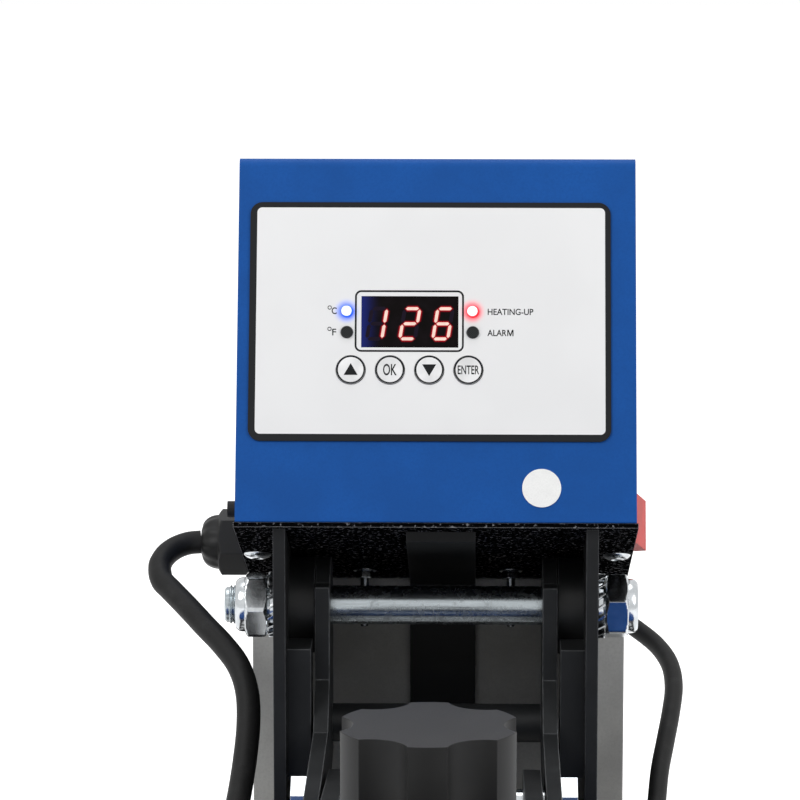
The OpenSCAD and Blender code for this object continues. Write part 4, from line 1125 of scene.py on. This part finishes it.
class HEATPRESS_OT_stage(bpy.types.Operator):
    """Camera, pale floor, white surround and soft lights"""

    bl_idname = "heatpress.stage"
    bl_label = "Stage"

    def execute(self, context):
        scene = context.scene
        scene.view_settings.view_transform = "Standard"
        rise, aside = math.radians(VIEW_RISE), math.radians(VIEW_ASIDE)
        up = Vector((0, math.sin(rise), math.cos(rise)))
        target = FACE + Vector((-VIEW_LEFT, 0, 0)) * MM + VIEW_UP * MM * up
        away = Vector((math.cos(rise) * math.sin(aside), -math.cos(rise) * math.cos(aside), math.sin(rise)))
        spot = target + VIEW_AWAY * away
        data = bpy.data.cameras.new("photo_camera")
        data.lens, data.sensor_width = VIEW_LENS, 36
        scene.camera = linked("photo_camera", data)
        scene.camera.matrix_world = aimed(spot, target)

        world = scene.world or bpy.data.worlds.new("studio")
        scene.world = world
        world.use_nodes = True
        tree = world.node_tree
        tree.nodes.clear()
        new, join = tree.nodes.new, tree.links.new
        blend, out = new("ShaderNodeMixShader"), new("ShaderNodeOutputWorld")
        join(self.seen(tree), blend.inputs[0])
        for k, strength in ((1, AMBIENT), (2, 1.0)):
            white = new("ShaderNodeBackground")
            white.inputs[0].default_value, white.inputs[1].default_value = (1, 1, 1, 1), strength
            join(white.outputs[0], blend.inputs[k])
        join(blend.outputs[0], out.inputs[0])

        bm = bmesh.new()
        bmesh.ops.create_grid(bm, x_segments=1, y_segments=1, size=FLOOR_HALF)
        mesh = bpy.data.meshes.new("floor")
        bm.to_mesh(mesh)
        bm.free()
        paper = Look("floor_paper", Roughness=0.9, Base_Color=srgb(238, 238, 238), Emission_Strength=1.0)
        glow = (0.62, 0.62, 0.62)
        paper.feed("Emission Color", paper.mix(Val(paper, self.seen(paper.tree)), (0, 0, 0), glow))
        mesh.materials.append(paper.material)
        floor = linked("floor", mesh)

        for name, place, size, power in (
            ("key_light", (-1.6, -1.7, 2.2), 1.6, 38),
            ("fill_light", (1.9, -1.5, 1.5), 1.8, 19),
            ("top_light", (0.0, 0.5, 2.4), 1.6, 16),
        ):
            lamp = bpy.data.lights.new(name, "AREA")
            lamp.shape, lamp.size, lamp.energy = "DISK", size, power
            linked(name, lamp).matrix_world = aimed(SHAFT + Vector(place), SHAFT)
        return {"FINISHED"}

    def seen(self, tree):
        """1 where the surround is looked at, straight, in metal or through glass"""
        path = tree.nodes.new("ShaderNodeLightPath")
        total = path.outputs["Is Camera Ray"]
        for name in ("Is Glossy Ray", "Is Transmission Ray"):
            most = tree.nodes.new("ShaderNodeMath")
            most.operation = "MAXIMUM"
            tree.links.new(total, most.inputs[0])
            tree.links.new(path.outputs[name], most.inputs[1])
            total = most.outputs[0]
        return total


OPERATORS = (
    HEATPRESS_OT_stage, HEATPRESS_OT_cables, HEATPRESS_OT_finishes, HEATPRESS_OT_pivot,
    HEATPRESS_OT_box_hardware, HEATPRESS_OT_print, HEATPRESS_OT_reading, HEATPRESS_OT_pad,
)


class HEATPRESS_PT_pieces(bpy.types.Panel):
    """The heat press's pieces, in the order they are made"""

    bl_idname = "HEATPRESS_PT_pieces"
    bl_label = "Heat press"
    bl_space_type = "VIEW_3D"
    bl_region_type = "UI"
    bl_category = "Heat press"

    def draw(self, context):
        column = self.layout.column()
        for group in (context.scene.press_colours, context.scene.press_sizes):
            for name in group.__annotations__:
                column.prop(group, name)
        for operator in OPERATORS:
            column.operator(operator.bl_idname)


CLASSES = (PressColours, PressSizes, *OPERATORS, HEATPRESS_PT_pieces)


def register():
    for item in CLASSES:
        bpy.utils.register_class(item)
    bpy.types.Scene.press_colours = PointerProperty(type=PressColours)
    bpy.types.Scene.press_sizes = PointerProperty(type=PressSizes)


def unregister():
    del bpy.types.Scene.press_sizes
    del bpy.types.Scene.press_colours
    for item in reversed(CLASSES):
        bpy.utils.unregister_class(item)


def main():
    register()
    make_looks()
    for operator in OPERATORS:
        group, name = operator.bl_idname.split(".")
        getattr(getattr(bpy.ops, group), name)()


if __name__ == "__main__":
    main()
